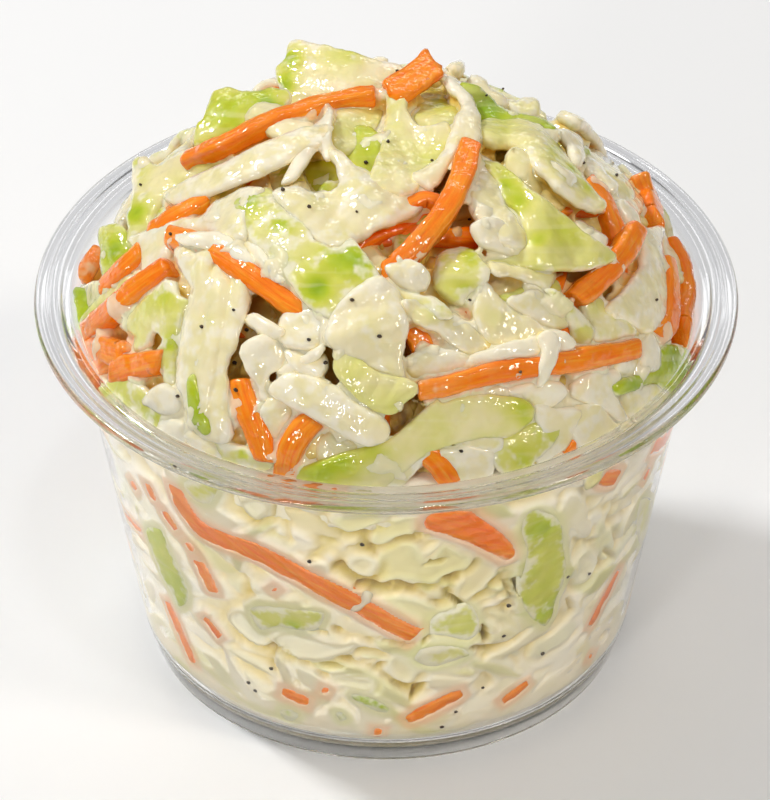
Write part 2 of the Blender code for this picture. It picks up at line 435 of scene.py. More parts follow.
def stick(store, line, width, thick, normals=None, taper=0.08, twist=0.0, step=0.4, film=0.15, spots=(),
          seed=0, green=0.5, flush=False, cut=0.35):
    """A julienne stick along a line of 3-D points, with a rounded four-sided section."""
    path = spline(line, step, False)
    n = len(path)
    tangent = np.gradient(path, axis=0)
    tangent /= np.linalg.norm(tangent, axis=1)[:, None]
    if normals is None:
        out = path - CENTRE
    elif flush:
        out = path * np.array([1, 1, 0])
    else:
        out = np.broadcast_to(normals, path.shape).copy()
    out = out - (out * tangent).sum(1)[:, None] * tangent
    out /= np.linalg.norm(out, axis=1)[:, None]
    side = np.cross(out, tangent)
    s = np.linspace(0, 1, n)
    angle = twist * (s - 0.5)
    u = side * np.cos(angle)[:, None] + out * np.sin(angle)[:, None]
    v = out * np.cos(angle)[:, None] - side * np.sin(angle)[:, None]
    m = 20
    corner = np.linspace(0, 2 * math.pi, m, endpoint=False) + math.pi / m
    cx, cy = np.cos(corner), np.sin(corner)
    power = 0.58
    sx = np.sign(cx) * np.abs(cx) ** power
    sy = np.sign(cy) * np.abs(cy) ** power
    length = np.r_[0, np.cumsum(np.linalg.norm(np.diff(path, axis=0), axis=1))]
    w = width * (1 + 0.16 * wobble(np.stack([length, length * 0], 1), 4.5, seed))
    w = w * (1 - taper * (2 * np.abs(s - 0.5)) ** 2)
    t = thick * (1 + 0.16 * wobble(np.stack([length, length * 0], 1), 4, seed + 2))
    slant = cut * math.sin(seed * 2.7) * width
    rings = []
    for i in range(n):
        ring = (path[i] + u[i] * (0.5 * w[i] * sx)[:, None] + v[i] * (0.5 * t[i] * sy)[:, None])
        near = 1 if i < 3 else (-1 if i >= n - 3 else 0)
        if near:
            ring = ring + tangent[i] * (slant * sx * (0.5 if near > 0 else 0.7))[:, None]
        rings.append(ring)
    def end(i, sign):
        base = rings[i]
        middle = base.mean(0)
        a = middle + (base - middle) * 0.86 + tangent[i] * sign * 0.22
        b = middle + (base - middle) * 0.45 + tangent[i] * sign * 0.32
        return a, b, middle + tangent[i] * sign * 0.33
    a0, b0, c0 = end(0, -1)
    a1, b1, c1 = end(n - 1, 1)
    rows = [b0, a0] + rings + [a1, b1]
    verts = np.vstack([c0[None]] + rows + [c1[None]])
    rough = wobble(verts, 0.9, seed + 6) * 0.08 + wobble(verts, 2.4, seed + 8) * 0.17
    middle = np.repeat(np.vstack([path[:1], path[:1], path, path[-1:], path[-1:]]), m, axis=0)
    middle = np.vstack([path[:1], middle, path[-1:]])
    away = verts - middle
    away /= np.maximum(np.linalg.norm(away, axis=1), 1e-9)[:, None]
    verts = verts + away * rough[:, None]
    if not flush:
        verts = keep_inside(verts)
    faces = []
    for k in range(m):
        j = (k + 1) % m
        faces.append((0, 1 + j, 1 + k))
    for i in range(len(rows) - 1):
        for k in range(m):
            j = (k + 1) % m
            p, q = 1 + i * m, 1 + (i + 1) * m
            faces.append((p + k, p + j, q + j))
            faces.append((p + k, q + j, q + k))
    last = 1 + len(rows) * m
    p = 1 + (len(rows) - 1) * m
    for k in range(m):
        j = (k + 1) % m
        faces.append((last, p + k, p + j))
    faces = np.array(faces)
    if volume(verts, faces) < 0:
        faces = faces[:, ::-1]
    along = np.r_[0, np.repeat(np.r_[0, 0, length, length[-1], length[-1]], m), length[-1]]
    around = np.r_[0, np.tile(sx * width * 0.5, len(rows)), 0]
    over = np.r_[0, np.tile(sy * thick * 0.5, len(rows)), 0]
    films = np.full(len(verts), float(film)) + 0.3 * wobble(verts, 3.0, seed + 12)
    total = length[-1]
    for at, spread, strength in spots:
        films += strength * np.exp(-((along / total - at) / spread) ** 2)
    store.add(verts, faces, np.full(len(verts), float(green)), np.clip(films, 0, 1),
              np.stack([along, around + seed, over], 1))


def heap_stick(store, text, width_px, thick, h=0.5, **more):
    rows = read(text)
    heights = np.where(np.isnan(rows[:, 2]), h, rows[:, 2])
    line = on_heap(rows[:, 0], rows[:, 1], heights)
    stick(store, line, width_px * PX, thick, **more)


def heap_leaf(store, text, at=None, **more):
    spots = [tuple(s) for s in more.pop("spots", ())]
    outline = read(text)
    if not at and np.isnan(outline[:, 2]).all():
        more.setdefault("tilt", 0.55 + 0.75 * abs(math.sin(3.7 * more["seed"])))
    leaf(store, outline, facing(*at) if at else on_heap, 1 / PX, spots=spots, **more)


cabbage, greens, carrot, ribs_store = Store(), Store(), Store(), Store()

# ---------------------------------------------------------------- shreds seen on top, back to front
# Outlines follow the photographed heap: "x,y" picture positions, with the height
# above the heap's smooth outline where a point lifts or dips.


def top_pieces():
    L, G = cabbage, greens
    # crown, left to right
    heap_leaf(G, "217,90 255,92 276,88 290,92 292,104 262,128 232,140 207,146 197,149 198,124 204,120 208,104",
              at=(248, 132, 0.4, 0.42), h=0.0, thick=1.1, ruffle=0.25, base_green=0.50,
              spots=[(268, 107, 12, 0.5), (225, 115, 22, 0.25)], film=0.22, seed=1)
    heap_leaf(G, "291,42,-0.4 314,44 336,48,0.3 357,56 380,62 402,66 410,80 385,96 350,106 310,116 288,112 283,97 279,86 277,68 285,60,-0.3",
              at=(335, 104, 0.2, 0.36), h=0.0, thick=1.0, bulge=0.1, ruffle=0.3, base_green=0.10, film=0.3, seed=2,
              spots=[(290, 62, 14, 0.75), (284, 88, 12, 0.75), (350, 54, 14, 0.3), (330, 60, 16, 0.12)])
    heap_leaf(G, "459,84 472,86 485,94 498,107 513,114 533,117 549,124 557,133 552,139 533,134 519,131 485,128 474,116 466,100",
              at=(505, 122, 0.5, 0.4), h=0.0, thick=1.2, ruffle=0.25, base_green=0.66, film=0.12, seed=3,
              spots=[(490, 112, 16, 0.3), (540, 128, 12, 0.2)])
    heap_leaf(L, "468,82 476,80 484,84 488,93 496,96 504,100 508,108 498,112 486,104 472,94", at=(488, 104, 0.0, 0.4), thick=1.5,
              seed=4, base_green=0.05)
    heap_leaf(L, "503,104 520,101 532,99 538,104 539,117 528,121 512,117", at=(520, 116, 0.0, 0.4), thick=1.2, base_green=0.22, seed=5)
    heap_leaf(L, "134,163 139,157 147,160 156,166 166,163 179,154 194,147 206,150 226,158 240,160 205,180 179,192 165,206 160,216 150,234 140,238 130,244 128,225 132,200",
              at=(165, 195, -0.2, 0.32), h=0.0, thick=1.1, base_green=0.18, spots=[(140, 215, 14, 0.6), (138, 170, 14, 0.25)],
              film=0.3, seed=6)
    heap_leaf(G, "101,229 112,223 124,228 133,242 140,252 130,267 114,281 106,280 102,265 102,246",
              at=(120, 258, 0.1, 0.3), h=0.0, thick=1.1, base_green=0.5, spots=[(116, 252, 12, 0.4)], film=0.2, seed=7)
    heap_leaf(L, "68,290 84,284 105,281 112,290 104,304 92,312 74,305", h=0.0, thick=1.1, base_green=0.12, seed=8)
    heap_leaf(G, "72,289 86,288 98,294 102,303 91,318 80,333 73,336 71,314", at=(88, 308, 0.3, 0.3), thick=1.0, base_green=0.85,
              film=0.1, seed=9)
    # below the crown, in the shade of what lies over them
    heap_leaf(G, "292,158 318,142 348,132 372,128 384,150 378,182 352,200 318,206 294,190", h=-1.0, thick=1.3, bulge=0.1,
              base_green=0.55, film=0.12, edge_film=0.2, seed=75)
    heap_leaf(G, "404,84 424,80 446,88 464,104 466,124 444,136 420,130 400,112", h=-0.7, thick=1.5, base_green=0.3, film=0.2,
              seed=76, spots=[(440, 108, 10, 0.3)])
    heap_leaf(L, "410,110 436,104 462,116 470,150 452,172 424,168 406,140", h=-1.1, thick=1.5, base_green=0.12, film=0.35, seed=77)
    heap_leaf(L, "556,140 580,144 606,160 626,182 632,204 606,206 580,190 560,164", h=-1.0, thick=1.5, base_green=0.08, film=0.4,
              seed=78)
    heap_leaf(L, "606,168 626,176 640,190 640,214 622,224 606,206", h=-0.8, thick=1.4, base_green=0.06, film=0.4, seed=79)
    # middle leaves
    heap_leaf(L, "332,109 352,100 372,92 384,84 391,88 394,98 386,116 372,134 362,152 340,156 326,150 322,128",
              h=0.2, thick=1.1, bulge=-0.1, base_green=0.16, spots=[(350, 130, 22, 0.12)], film=0.2, seed=10)
    heap_leaf(L, "385,92,1.5 394,84,1.7 404,80,2.6 411,83,2.4 408,96,1.8 407,108,1.0 418,124,0.4 432,127,0.3 446,123,0.8 452,132 448,152 436,172 424,186 402,196 380,192 366,184 372,168 380,147 384,124 387,106",
              h=1.0, thick=1.1, bulge=0.1, ruffle=0.5, base_green=0.17, spots=[(420, 150, 26, 0.10)], film=0.25, seed=11)
    heap_leaf(L, "438,77,1.6 452,79,2.0 466,90,2.2 476,108,2.2 481,126,2.1 480,142,1.9 472,156,1.7 466,146,1.5 462,150,1.4 450,166,1.3 440,184,1.1 428,192,0.9 411,175,0.9 424,170,1.1 440,158,1.4 449,138,1.6 455,120,1.8 462,112,1.8 456,100,1.7 446,90,1.4",
              h=1.6, thick=1.2, bulge=0.5, ruffle=0.15, base_green=0.03, film=0.5, seed=12)
    heap_leaf(L, "444,72,2.0 455,63,2.7 463,62,2.8 464,69,2.4 455,82,1.5 446,84,1.2", h=2.0, thick=0.9, base_green=0.05, seed=13)
    heap_leaf(L, "163,197 179,186 202,174 230,161 255,148 293,132 320,122 333,122 322,142 304,152 284,166 262,176 242,184 217,194 194,202 176,206",
              h=1.6, thick=1.1, bulge=0.15, ruffle=0.12, rough=0.1, curl=0.2, base_green=0.07, film=0.4, seed=14)
    heap_leaf(L, "329,107,2.6 334,112,2.6 332,128,2.3 333,146,1.8 340,154,1.4 326,162,1.3 318,152,1.8 306,167,1.8 294,182,1.5 281,185,1.4 291,165,1.8 301,147,2.2 311,128,2.5 323,118,2.6",
              h=2.2, thick=0.8, bulge=0.3, ruffle=0.1, rough=0.1, base_green=0.02, film=0.7, seed=15)
    heap_leaf(L, "273,194 293,189 316,192 334,191 340,184 336,168 328,152 342,153 354,165 368,173 384,181 401,186 412,198 423,206 420,214 398,223 384,228 367,238 356,245 342,250 328,249 314,241 298,226 284,210",
              h=1.1, thick=1.2, bulge=0.3, ruffle=0.4, base_green=0.08, spots=[(300, 205, 16, 0.1)], film=0.45, seed=16)
    heap_leaf(L, "131,240 143,235 163,224 184,219 204,216 214,205 230,196 254,188 266,190 256,204 250,222 246,240 222,238 200,236 182,240 176,256 164,277 153,284 145,276 142,257 136,250",
              h=0.8, thick=1.3, bulge=0.4, base_green=0.06, film=0.5, seed=17)
    heap_leaf(G, "235,204 245,196 262,190 275,193 286,209 306,224 316,240 329,248 342,246 353,239 364,251 374,264 381,276 380,286 365,288 353,296 343,308 331,320 315,311 303,301 287,281 270,263 257,250 246,236 236,222",
              h=1.8, thick=1.3, bulge=0.3, ruffle=0.55, base_green=0.28, film=0.42, edge_film=0.45, seed=18,
              spots=[(252, 205, 12, 0.6), (282, 229, 10, 0.55), (344, 262, 22, 0.62), (318, 290, 14, 0.65), (366, 266, 12, 0.3), (272, 215, 9, 0.2)])
    heap_leaf(L, "176,237 196,233 222,234 240,246 262,262 282,276 286,286 268,281 244,268 222,256 200,249 182,244",
              h=2.0, thick=0.9, bulge=0.3, ruffle=0.1, base_green=0.02, film=0.8, seed=19)
    heap_leaf(L, "240,240 256,244 272,262 286,280 280,284 262,270 246,256", h=1.7, thick=1.0, base_green=0.03, film=0.7, seed=20)
    # right of the crown
    heap_leaf(L, "480,122 505,121 524,121 534,126 549,138 566,158 586,184 605,205 606,211 594,214 578,206 549,184 524,160 512,150 494,148 478,142",
              h=1.4, thick=1.3, bulge=0.3, ruffle=0.2, base_green=0.18, film=0.3, seed=21,
              spots=[(500, 133, 14, 0.18), (552, 152, 9, 0.5), (570, 172, 9, 0.5), (585, 190, 8, 0.35)])
    heap_leaf(L, "554,133 566,131 578,140 583,156 578,171 571,166 564,150", h=0.8, thick=1.4, bulge=0.5, base_green=0.03, film=0.6, seed=22)
    heap_leaf(L, "583,158 592,162 606,175 618,189 611,195 597,186 586,178", h=0.2, thick=1.1, base_green=0.05, film=0.5, seed=23)
    heap_leaf(L, "474,152 486,160 496,172 500,192 506,208 518,224 528,244 522,252 506,250 490,240 476,224 466,204 468,176",
              h=0.7, thick=1.5, bulge=0.4, base_green=0.06, film=0.5, seed=24)
    heap_leaf(L, "470,224 486,218 506,224 522,238 530,250 514,258 494,254 478,244", h=1.2, thick=1.5, bulge=0.5,
              base_green=0.03, film=0.6, seed=25)
    heap_leaf(G, "478,163 497,164 512,172 549,204 582,230 601,244 615,256 612,262 582,271 549,271 513,270 490,268 486,262 512,256 526,244 521,226 514,212 502,200 494,182",
              h=1.9, thick=1.1, bulge=-0.1, ruffle=0.2, rough=0.12, base_green=0.30, film=0.2, seed=26,
              spots=[(505, 188, 14, 0.45), (520, 205, 12, 0.35), (537, 243, 7, 0.35), (560, 230, 22, 0.12)])
    heap_leaf(L, "487,262 513,268 545,270 556,272 552,284 545,292 530,284 512,278 494,276", h=1.2, thick=1.0, base_green=0.15, seed=27)
    heap_leaf(L, "615,200,1.8 623,201,1.8 636,216 642,227 662,229 660,243 663,262 667,290 668,311 655,329 648,334 628,327 606,309 622,290 640,264 637,242 624,222",
              h=1.0, thick=1.2, bulge=0.2, ruffle=0.25, base_green=0.05, film=0.45, seed=28)
    heap_leaf(L, "577,222 592,228 606,240 600,252 586,250 576,238", h=0.4, thick=1.3, base_green=0.05, film=0.5, seed=29)
    heap_leaf(L, "548,210 562,222 578,236 572,246 556,240 544,226", h=0.9, thick=1.3, base_green=0.06, film=0.5, seed=30)
    heap_leaf(L, "510,150 530,158 548,176 560,196 566,212 550,214 532,198 514,180 504,164", h=0.5, thick=1.4, bulge=0.4,
              base_green=0.10, film=0.4, seed=31)
    # middle
    heap_leaf(G, "440,256 454,250 472,250 484,262 490,272 484,288 472,294 462,306 444,300 434,284", h=0.3, thick=1.5,
              base_green=0.30, spots=[(470, 262, 9, 0.35), (466, 290, 9, 0.3)], film=0.4, seed=32)
    heap_leaf(G, "498,298 514,290 540,284 556,280 560,292 548,300 530,302 512,310", h=-0.2, thick=1.2, base_green=0.4, film=0.3, seed=33)
    heap_leaf(L, "384,268 398,262 412,261 424,266 430,276 426,290 410,292 396,284", h=1.5, thick=1.3, bulge=0.2, ruffle=0.7, base_green=0.04, film=0.6, seed=34)
    heap_leaf(G, "378,272 390,276 404,290 420,297 434,297 446,308 454,318 440,320 420,314 402,304 386,290", h=1.3, thick=1.2,
              base_green=0.25, spots=[(386, 280, 9, 0.3), (440, 306, 9, 0.25)], film=0.45, seed=35)
    heap_leaf(L, "400,301 416,300 436,307 460,319 482,335 502,349 494,358 470,356 450,346 430,330 414,324 404,316", h=1.2,
              thick=1.1, bulge=0.5, ruffle=0.15, base_green=0.12, film=0.4, seed=36, spots=[(430, 312, 10, 0.12)])
    heap_leaf(L, "402,368 412,354 430,346 452,350 474,356 492,362 470,370 444,376 424,386 404,384", h=0.5, thick=1.5,
              base_green=0.06, film=0.4, seed=37)
    heap_leaf(L, "482,280,1.9 490,287,1.8 504,304 524,315 549,331 560,340 536,346 508,352 488,344 476,328 472,308 476,292",
              h=1.2, thick=1.3, bulge=0.2, ruffle=0.3, base_green=0.10, film=0.3, seed=38)
    heap_leaf(L, "506,302 522,293 538,291 551,297 566,311 571,323 559,331 540,325 520,314", h=0.6, thick=1.4, bulge=0.4,
              base_green=0.07, film=0.4, seed=39)
    heap_leaf(G, "543,288 552,289 565,298 583,316 593,334 588,346 577,347 570,336 565,319 553,302", h=1.0, thick=1.2,
              bulge=0.3, base_green=0.26, film=0.4, seed=40)
    heap_leaf(L, "579,300 589,295 606,303 626,320 635,336 616,342 594,344 586,326", h=0.5, thick=1.4, bulge=0.3,
              base_green=0.17, spots=[(592, 308, 10, 0.15)], film=0.4, seed=41)
    heap_leaf(L, "606,308 626,318 648,330 654,342 640,340 626,334 612,322", h=0.2, thick=1.3, base_green=0.04, film=0.5, seed=42)
    # left
    heap_leaf(G, "121,327 132,314 144,301 158,288 168,281 177,283 181,295 191,303 186,320 181,340 178,362 177,388 168,389 164,372 157,358 163,340 157,334 150,348 139,355 133,348 137,336 128,333",
              h=1.0, thick=1.1, bulge=0.3, ruffle=0.3, base_green=0.30, film=0.35, seed=43,
              spots=[(172, 345, 9, 0.35), (168, 375, 9, 0.35), (170, 300, 14, 0.18), (148, 310, 9, 0.1)])
    heap_leaf(L, "176,250 190,246 200,252 214,248 221,256 224,272 232,276 246,272 252,286 250,306 245,322 238,342 230,364 229,390 230,412 234,434 226,445 210,440 192,428 186,414 184,398 178,386 178,366 181,340 186,314 192,290 182,272",
              h=1.6, thick=1.2, bulge=1.3, ruffle=0.6, tilt=0.3, curl=0.5, base_green=0.06, film=0.4, seed=44, ribs=0.30, rib_turn=0.15, rib_gap=2.1)
    heap_leaf(G, "188,377 194,374 200,390 206,410 213,432 206,436 194,424 188,404", h=4.1, thick=0.8, bulge=0.1, rough=0.1, tilt=0.1, curl=0.3,
              base_green=0.78, film=0.1, edge_film=0.25, seed=45)
    heap_leaf(L, "244,317 256,315 272,321 286,330 278,338 264,336 250,326", h=1.7, thick=1.2, bulge=0.5, base_green=0.02, film=0.7, seed=46)
    heap_leaf(L, "276,334 286,314 300,304 312,303 326,311 334,322 328,338 314,350 298,350 284,346", h=1.7, thick=1.6,
              bulge=0.5, ruffle=0.8, base_green=0.02, film=0.6, seed=47)
    heap_leaf(L, "242,350 252,337 268,333 282,342 290,356 284,370 272,376 266,386 275,400 264,402 258,388 250,376 243,364",
              h=1.4, thick=1.4, bulge=0.3, ruffle=0.7, base_green=0.02, film=0.7, seed=48)
    heap_leaf(L, "274,374 286,366 306,354 325,343 327,350 303,368 288,376", h=2.2, thick=1.1, bulge=0.4, base_green=0.02, film=0.7, seed=49)
    heap_leaf(L, "286,352 304,352 322,350 330,364 322,378 304,376 288,366", h=1.4, thick=1.6, bulge=0.3, base_green=0.02, film=0.6, seed=50)
    heap_leaf(L, "326,340 329,322 335,308 346,295 363,284 378,277 389,283 399,292 401,303 408,322 405,344 403,364 405,380 386,374 366,370 350,364 338,354",
              h=2.5, thick=1.9, bulge=0.6, ruffle=0.2, rough=0.12, base_green=0.05, film=0.45, seed=51)
    heap_leaf(L, "270,390 281,377 294,372 312,375 333,384 344,388 354,398 371,408 384,417 390,428 387,439 371,446 356,442 332,428 306,414 282,402",
              h=2.0, thick=2.0, bulge=0.5, ruffle=0.12, rough=0.12, curl=0.4, base_green=0.03, film=0.5, seed=52)
    heap_leaf(G, "333,362 339,351 350,348 363,361 377,371 394,376 406,379 418,385 416,394 403,406 396,414 384,414 369,408 351,393 337,377",
              h=3.2, thick=1.5, bulge=0.5, ruffle=0.1, rough=0.12, tilt=0.3, curl=0.4, base_green=0.27, film=0.15, edge_film=0.2, seed=53,
              ribs=0.10, rib_turn=0.45, rib_gap=1.7)
    heap_leaf(L, "262,405 272,396 286,398 294,408 288,424 276,444 264,440 258,424", h=0.0, thick=1.6, base_green=0.05, film=0.5, seed=54)
    heap_leaf(L, "318,440 332,430 348,438 360,446 350,456 336,462 320,468", h=-0.3, thick=1.4, base_green=0.12, film=0.2, seed=55)
    heap_leaf(G, "107,393 111,381 123,375 139,379 154,392 170,413 160,428 144,420 122,404", h=0.5, thick=1.5,
              base_green=0.40, spots=[(155, 415, 9, 0.3)], film=0.35, seed=56)
    heap_leaf(L, "144,401 152,388 166,383 178,391 184,402 178,414 160,413 149,407", h=1.2, thick=1.4, bulge=0.3, ruffle=0.6, base_green=0.02, film=0.6, seed=57)
    heap_leaf(L, "156,428 168,417 184,419 192,428 192,440 178,440 162,436", h=0.7, thick=1.6, bulge=0.4, base_green=0.03, film=0.6, seed=58)
    heap_leaf(L, "186,434 198,427 212,434 224,446 226,458 212,458 196,448", h=0.9, thick=1.6, bulge=0.4, base_green=0.03, film=0.6, seed=59)
    heap_leaf(G, "216,440 234,443 254,449 270,453 277,464 262,470 240,466 222,460", h=1.2, thick=1.1, bulge=0.3, base_green=0.25,
              spots=[(246, 452, 8, 0.45)], film=0.35, seed=60)
    # front and right
    heap_leaf(G, "296,478,0.6 301,468,0.9 315,462,1.1 339,453,1.4 362,446,1.8 388,438,2.2 408,423,2.5 426,407,2.8 438,398,3.0 442,402,2.7 458,397,2.5 480,394,2.3 503,395,2.2 523,399,2.3 533,407,2.4 532,417,1.8 522,429,1.2 508,437,0.9 480,438,0.9 459,443,0.9 436,451,0.8 420,459,0.6 398,478,0.4 378,492,0.2 340,490,0.2",
              h=1.6, thick=1.1, bulge=0.35, ruffle=0.3, rough=0.12, curl=0.8, base_green=0.22, film=0.2, edge_film=0.3, seed=61,
              spots=[(318, 470, 20, 0.55), (345, 462, 16, 0.45), (372, 450, 12, 0.3), (520, 408, 13, 0.4), (524, 422, 9, 0.3), (440, 424, 14, 0.15)])
    heap_leaf(L, "412,400 430,412 424,436 408,456 392,474 384,486 398,490 416,470 436,452 446,440 440,420 428,404",
              h=0.7, thick=1.0, base_green=0.12, film=0.3, seed=62)
    heap_leaf(L, "436,452 456,447 476,444 494,452 492,472 474,482 454,482 440,470", h=0.3, thick=1.3, base_green=0.06, film=0.5, seed=63)
    heap_leaf(L, "432,372 446,364 472,354 496,346 524,338 550,330 567,333 575,345 560,354 528,358 496,362 468,370 444,380",
              h=1.9, thick=1.2, bulge=0.3, base_green=0.03, film=0.7, seed=64)
    heap_leaf(L, "536,336,2.9 548,330,3.0 559,338,3.5 558,354,3.9 551,372,3.9 541,388,3.2 534,386,3.1 538,368,3.8 540,350,3.8",
              h=3.6, thick=0.9, bulge=0.4, ruffle=0.1, curl=0.2, base_green=0.02, film=0.8, seed=65)
    heap_leaf(L, "490,390 512,385 543,379 560,381 566,393 552,405 534,407 508,398", h=0.9, thick=1.6, bulge=0.3, base_green=0.04, film=0.6, seed=66)
    heap_leaf(L, "568,385 586,373 605,367 617,369 620,379 611,389 621,408 631,424 615,420 596,409 580,402 569,394", h=1.0,
              thick=1.4, bulge=0.4, base_green=0.03, film=0.6, seed=67)
    heap_leaf(L, "570,408 587,402 601,405 613,418 629,426 626,434 610,438 592,446 582,452 570,436", h=1.1, thick=1.2,
              bulge=0.2, ruffle=0.2, base_green=0.05, film=0.5, seed=68)
    heap_leaf(L, "532,404 554,406 580,410 577,424 571,440 554,456 538,466 528,452 536,430", h=0.8, thick=1.2, base_green=0.05, film=0.5, seed=69)
    heap_leaf(G, "488,438 512,428 536,422 552,420 560,424 556,440 540,456 518,474 500,472 490,458", h=0.8, thick=1.3,
              base_green=0.36, spots=[(540, 430, 12, 0.2), (520, 462, 12, 0.25)], film=0.4, seed=70)
    heap_leaf(G, "610,386 628,377 650,367 656,350 676,345 687,352 686,370 677,384 658,402 651,385 628,392 614,394", h=0.8,
              thick=1.2, base_green=0.62, film=0.2, spots=[(668, 362, 14, 0.25), (630, 384, 9, 0.3)], seed=71)
    heap_leaf(L, "614,394 640,385 655,384 660,400 640,414 624,418", h=0.4, thick=1.4, base_green=0.15, film=0.5, seed=72)
    heap_leaf(L, "640,340 650,335 657,346 657,366 648,374 637,370 636,352", h=1.2, thick=1.6, bulge=0.5, base_green=0.03, film=0.6, seed=73)
    heap_leaf(L, "462,388 480,384 502,384 520,392 508,404 484,406 466,402", h=0.7, thick=1.4, bulge=0.2, tilt=0.2,
              base_green=0.05, film=0.5, seed=80)
    heap_leaf(L, "458,438 476,433 498,434 502,450 484,457 462,452", h=0.5, thick=1.4, bulge=0.2, tilt=0.2, base_green=0.06,
              film=0.5, seed=81)
    heap_leaf(L, "612,352 632,346 640,362 628,376 612,372", h=0.4, thick=1.6, base_green=0.03, film=0.6, seed=74)

    C = carrot
    heap_stick(C, "190,160,0.9 224,146 262,127 302,112 340,101 373,96", 23, 2.2, h=1.5, seed=1, film=0.0,
               spots=[(0.05, 0.12, 0.5)])
    heap_leaf(C, "384,86 391,79 398,73 405,67 411,60 417,53 421,46 425,41 428,42 430,49 434,57 438,64 443,71 440,76 432,83 424,89 416,95 409,101 402,107 396,103 390,95",
              at=(400, 100, 0.9, 0.42), h=0.4, thick=3.0, bulge=0.7, ruffle=0.25, rough=0.10, ribs=0.22, rib_turn=1.0, rib_gap=3.4,
              base_green=0.5, film=0.05, edge_film=0.2, seed=2, grain_turn=-0.8, curl=0.3)
    heap_stick(C, "470,143,2.4 461,176,2.4 446,208,2.2 424,240,1.9 398,264,1.4 384,274,1.0", 24, 2.3, seed=3, film=0.05,
               spots=[(0.0, 0.06, 0.3)], taper=0.1)
    heap_stick(C, "172,238,1.3 196,245,1.3 224,257,1.3 262,284,1.2 290,304,0.9 304,312,0.6", 25, 2.3, seed=4, film=0.1, spots=[(0.12, 0.16, 0.7)])
    heap_stick(C, "154,232,0.4 170,222,0.5 190,210,0.4 208,200,0.0", 20, 2.0, seed=5, film=0.25)
    heap_stick(C, "84,336,0.9 108,316,1.0 140,289,1.0 170,268,0.8", 26, 2.3, seed=6, film=0.1)
    heap_stick(C, "106,288,0.6 122,272,0.7 144,252,0.4", 24, 2.0, seed=7, film=0.35)
    heap_stick(C, "74,278,0.0 88,268,0.3 98,252,0.2", 22, 2.0, seed=8, film=0.75)
    heap_stick(C, "84,352,0.0 104,350,0.5 126,356,0.5", 26, 2.2, seed=9, film=0.6)
    heap_stick(C, "118,372,0.2 140,366,0.6 164,362,0.4", 28, 2.3, seed=10, film=0.5)
    heap_stick(C, "92,372,0.0 108,362,0.4 128,346,0.4", 18, 1.8, seed=11, film=0.65)
    heap_stick(C, "242,382,0.3 248,406,0.8 258,432,0.8 268,458,0.4", 25, 2.2, seed=12, film=0.3)
    heap_stick(C, "312,420,0.6 298,436,0.9 289,456,0.8 286,478,0.4", 25, 2.2, seed=13, film=0.2)
    heap_stick(C, "250,396,-0.8 268,404,-0.8 284,416,-1.2", 20, 2.0, seed=14, film=0.1)
    heap_stick(C, "420,391,1.6 452,384,2.0 494,373,2.1 540,366,2.1 590,358,1.9 634,349,1.5", 23, 2.4, seed=15, film=0.08,
               spots=[(0.04, 0.12, 0.85), (0.25, 0.08, 0.6), (0.62, 0.05, 0.5)], taper=0.12)
    heap_stick(C, "634,230,1.6 622,252,1.4 602,276,1.0 574,300,0.4", 25, 2.3, seed=16, film=0.15)
    heap_stick(C, "640,178,1.4 646,196,1.0 652,222,0.4", 30, 2.3, seed=17, film=0.45, taper=0.3)
    heap_stick(C, "586,184,0.0 600,200,0.2 610,222,0.2 616,240,-0.2", 24, 2.2, seed=18, film=0.45)
    heap_stick(C, "672,248,0.3 682,270,0.6 688,300,0.6 680,334,0.2", 28, 2.4, seed=19, film=0.35)
    heap_stick(C, "664,262,0.6 668,292,0.9 666,320,0.7 654,338,0.4", 24, 2.2, seed=20, film=0.3)
    heap_stick(C, "404,326,-0.6 418,340,-0.4 424,356,-0.8", 22, 2.2, seed=21, film=0.1)
    heap_stick(C, "424,452,0.2 438,464,0.3 452,484,-0.2", 22, 2.0, seed=22, film=0.25)
    heap_stick(C, "550,212,-0.8 572,208,-0.4 590,212,-0.6", 18, 2.0, seed=23, film=0.3)
    heap_stick(C, "409,206,0.0 424,200,0.2 438,204,0.0", 16, 1.8, seed=24, film=0.3)
    heap_stick(C, "550,322,-0.4 562,326,-0.2 574,338,-0.6", 16, 1.8, seed=25, film=0.2)
    heap_stick(C, "566,446,-0.6 590,440,-0.4 612,436,-0.8", 20, 2.0, seed=26, film=0.3)


# ---------------------------------------------------------------- loose shreds under and behind
def shred_outline(rng, length, width):
    """A strip with an uneven width, a bend and cut or pointed ends."""
    n = 6
    bend = rng.uniform(-0.35, 0.35) * length
    left, right = [], []
    for i in range(n):
        s = i / (n - 1)
        x = (s - 0.5) * length
        y = bend * (0.25 - (s - 0.5) ** 2) * 2
        w = width * (0.5 + 0.35 * math.sin(math.pi * s)) * rng.uniform(0.75, 1.2)
        if i in (0, n - 1):
            w *= rng.uniform(0.15, 0.8)
        left.append((x + rng.uniform(-0.4, 0.4), y + w / 2))
        right.append((x + rng.uniform(-0.4, 0.4), y - w / 2))
    points = left + right[::-1]
    return np.array([(x, y, math.nan) for x, y in points])


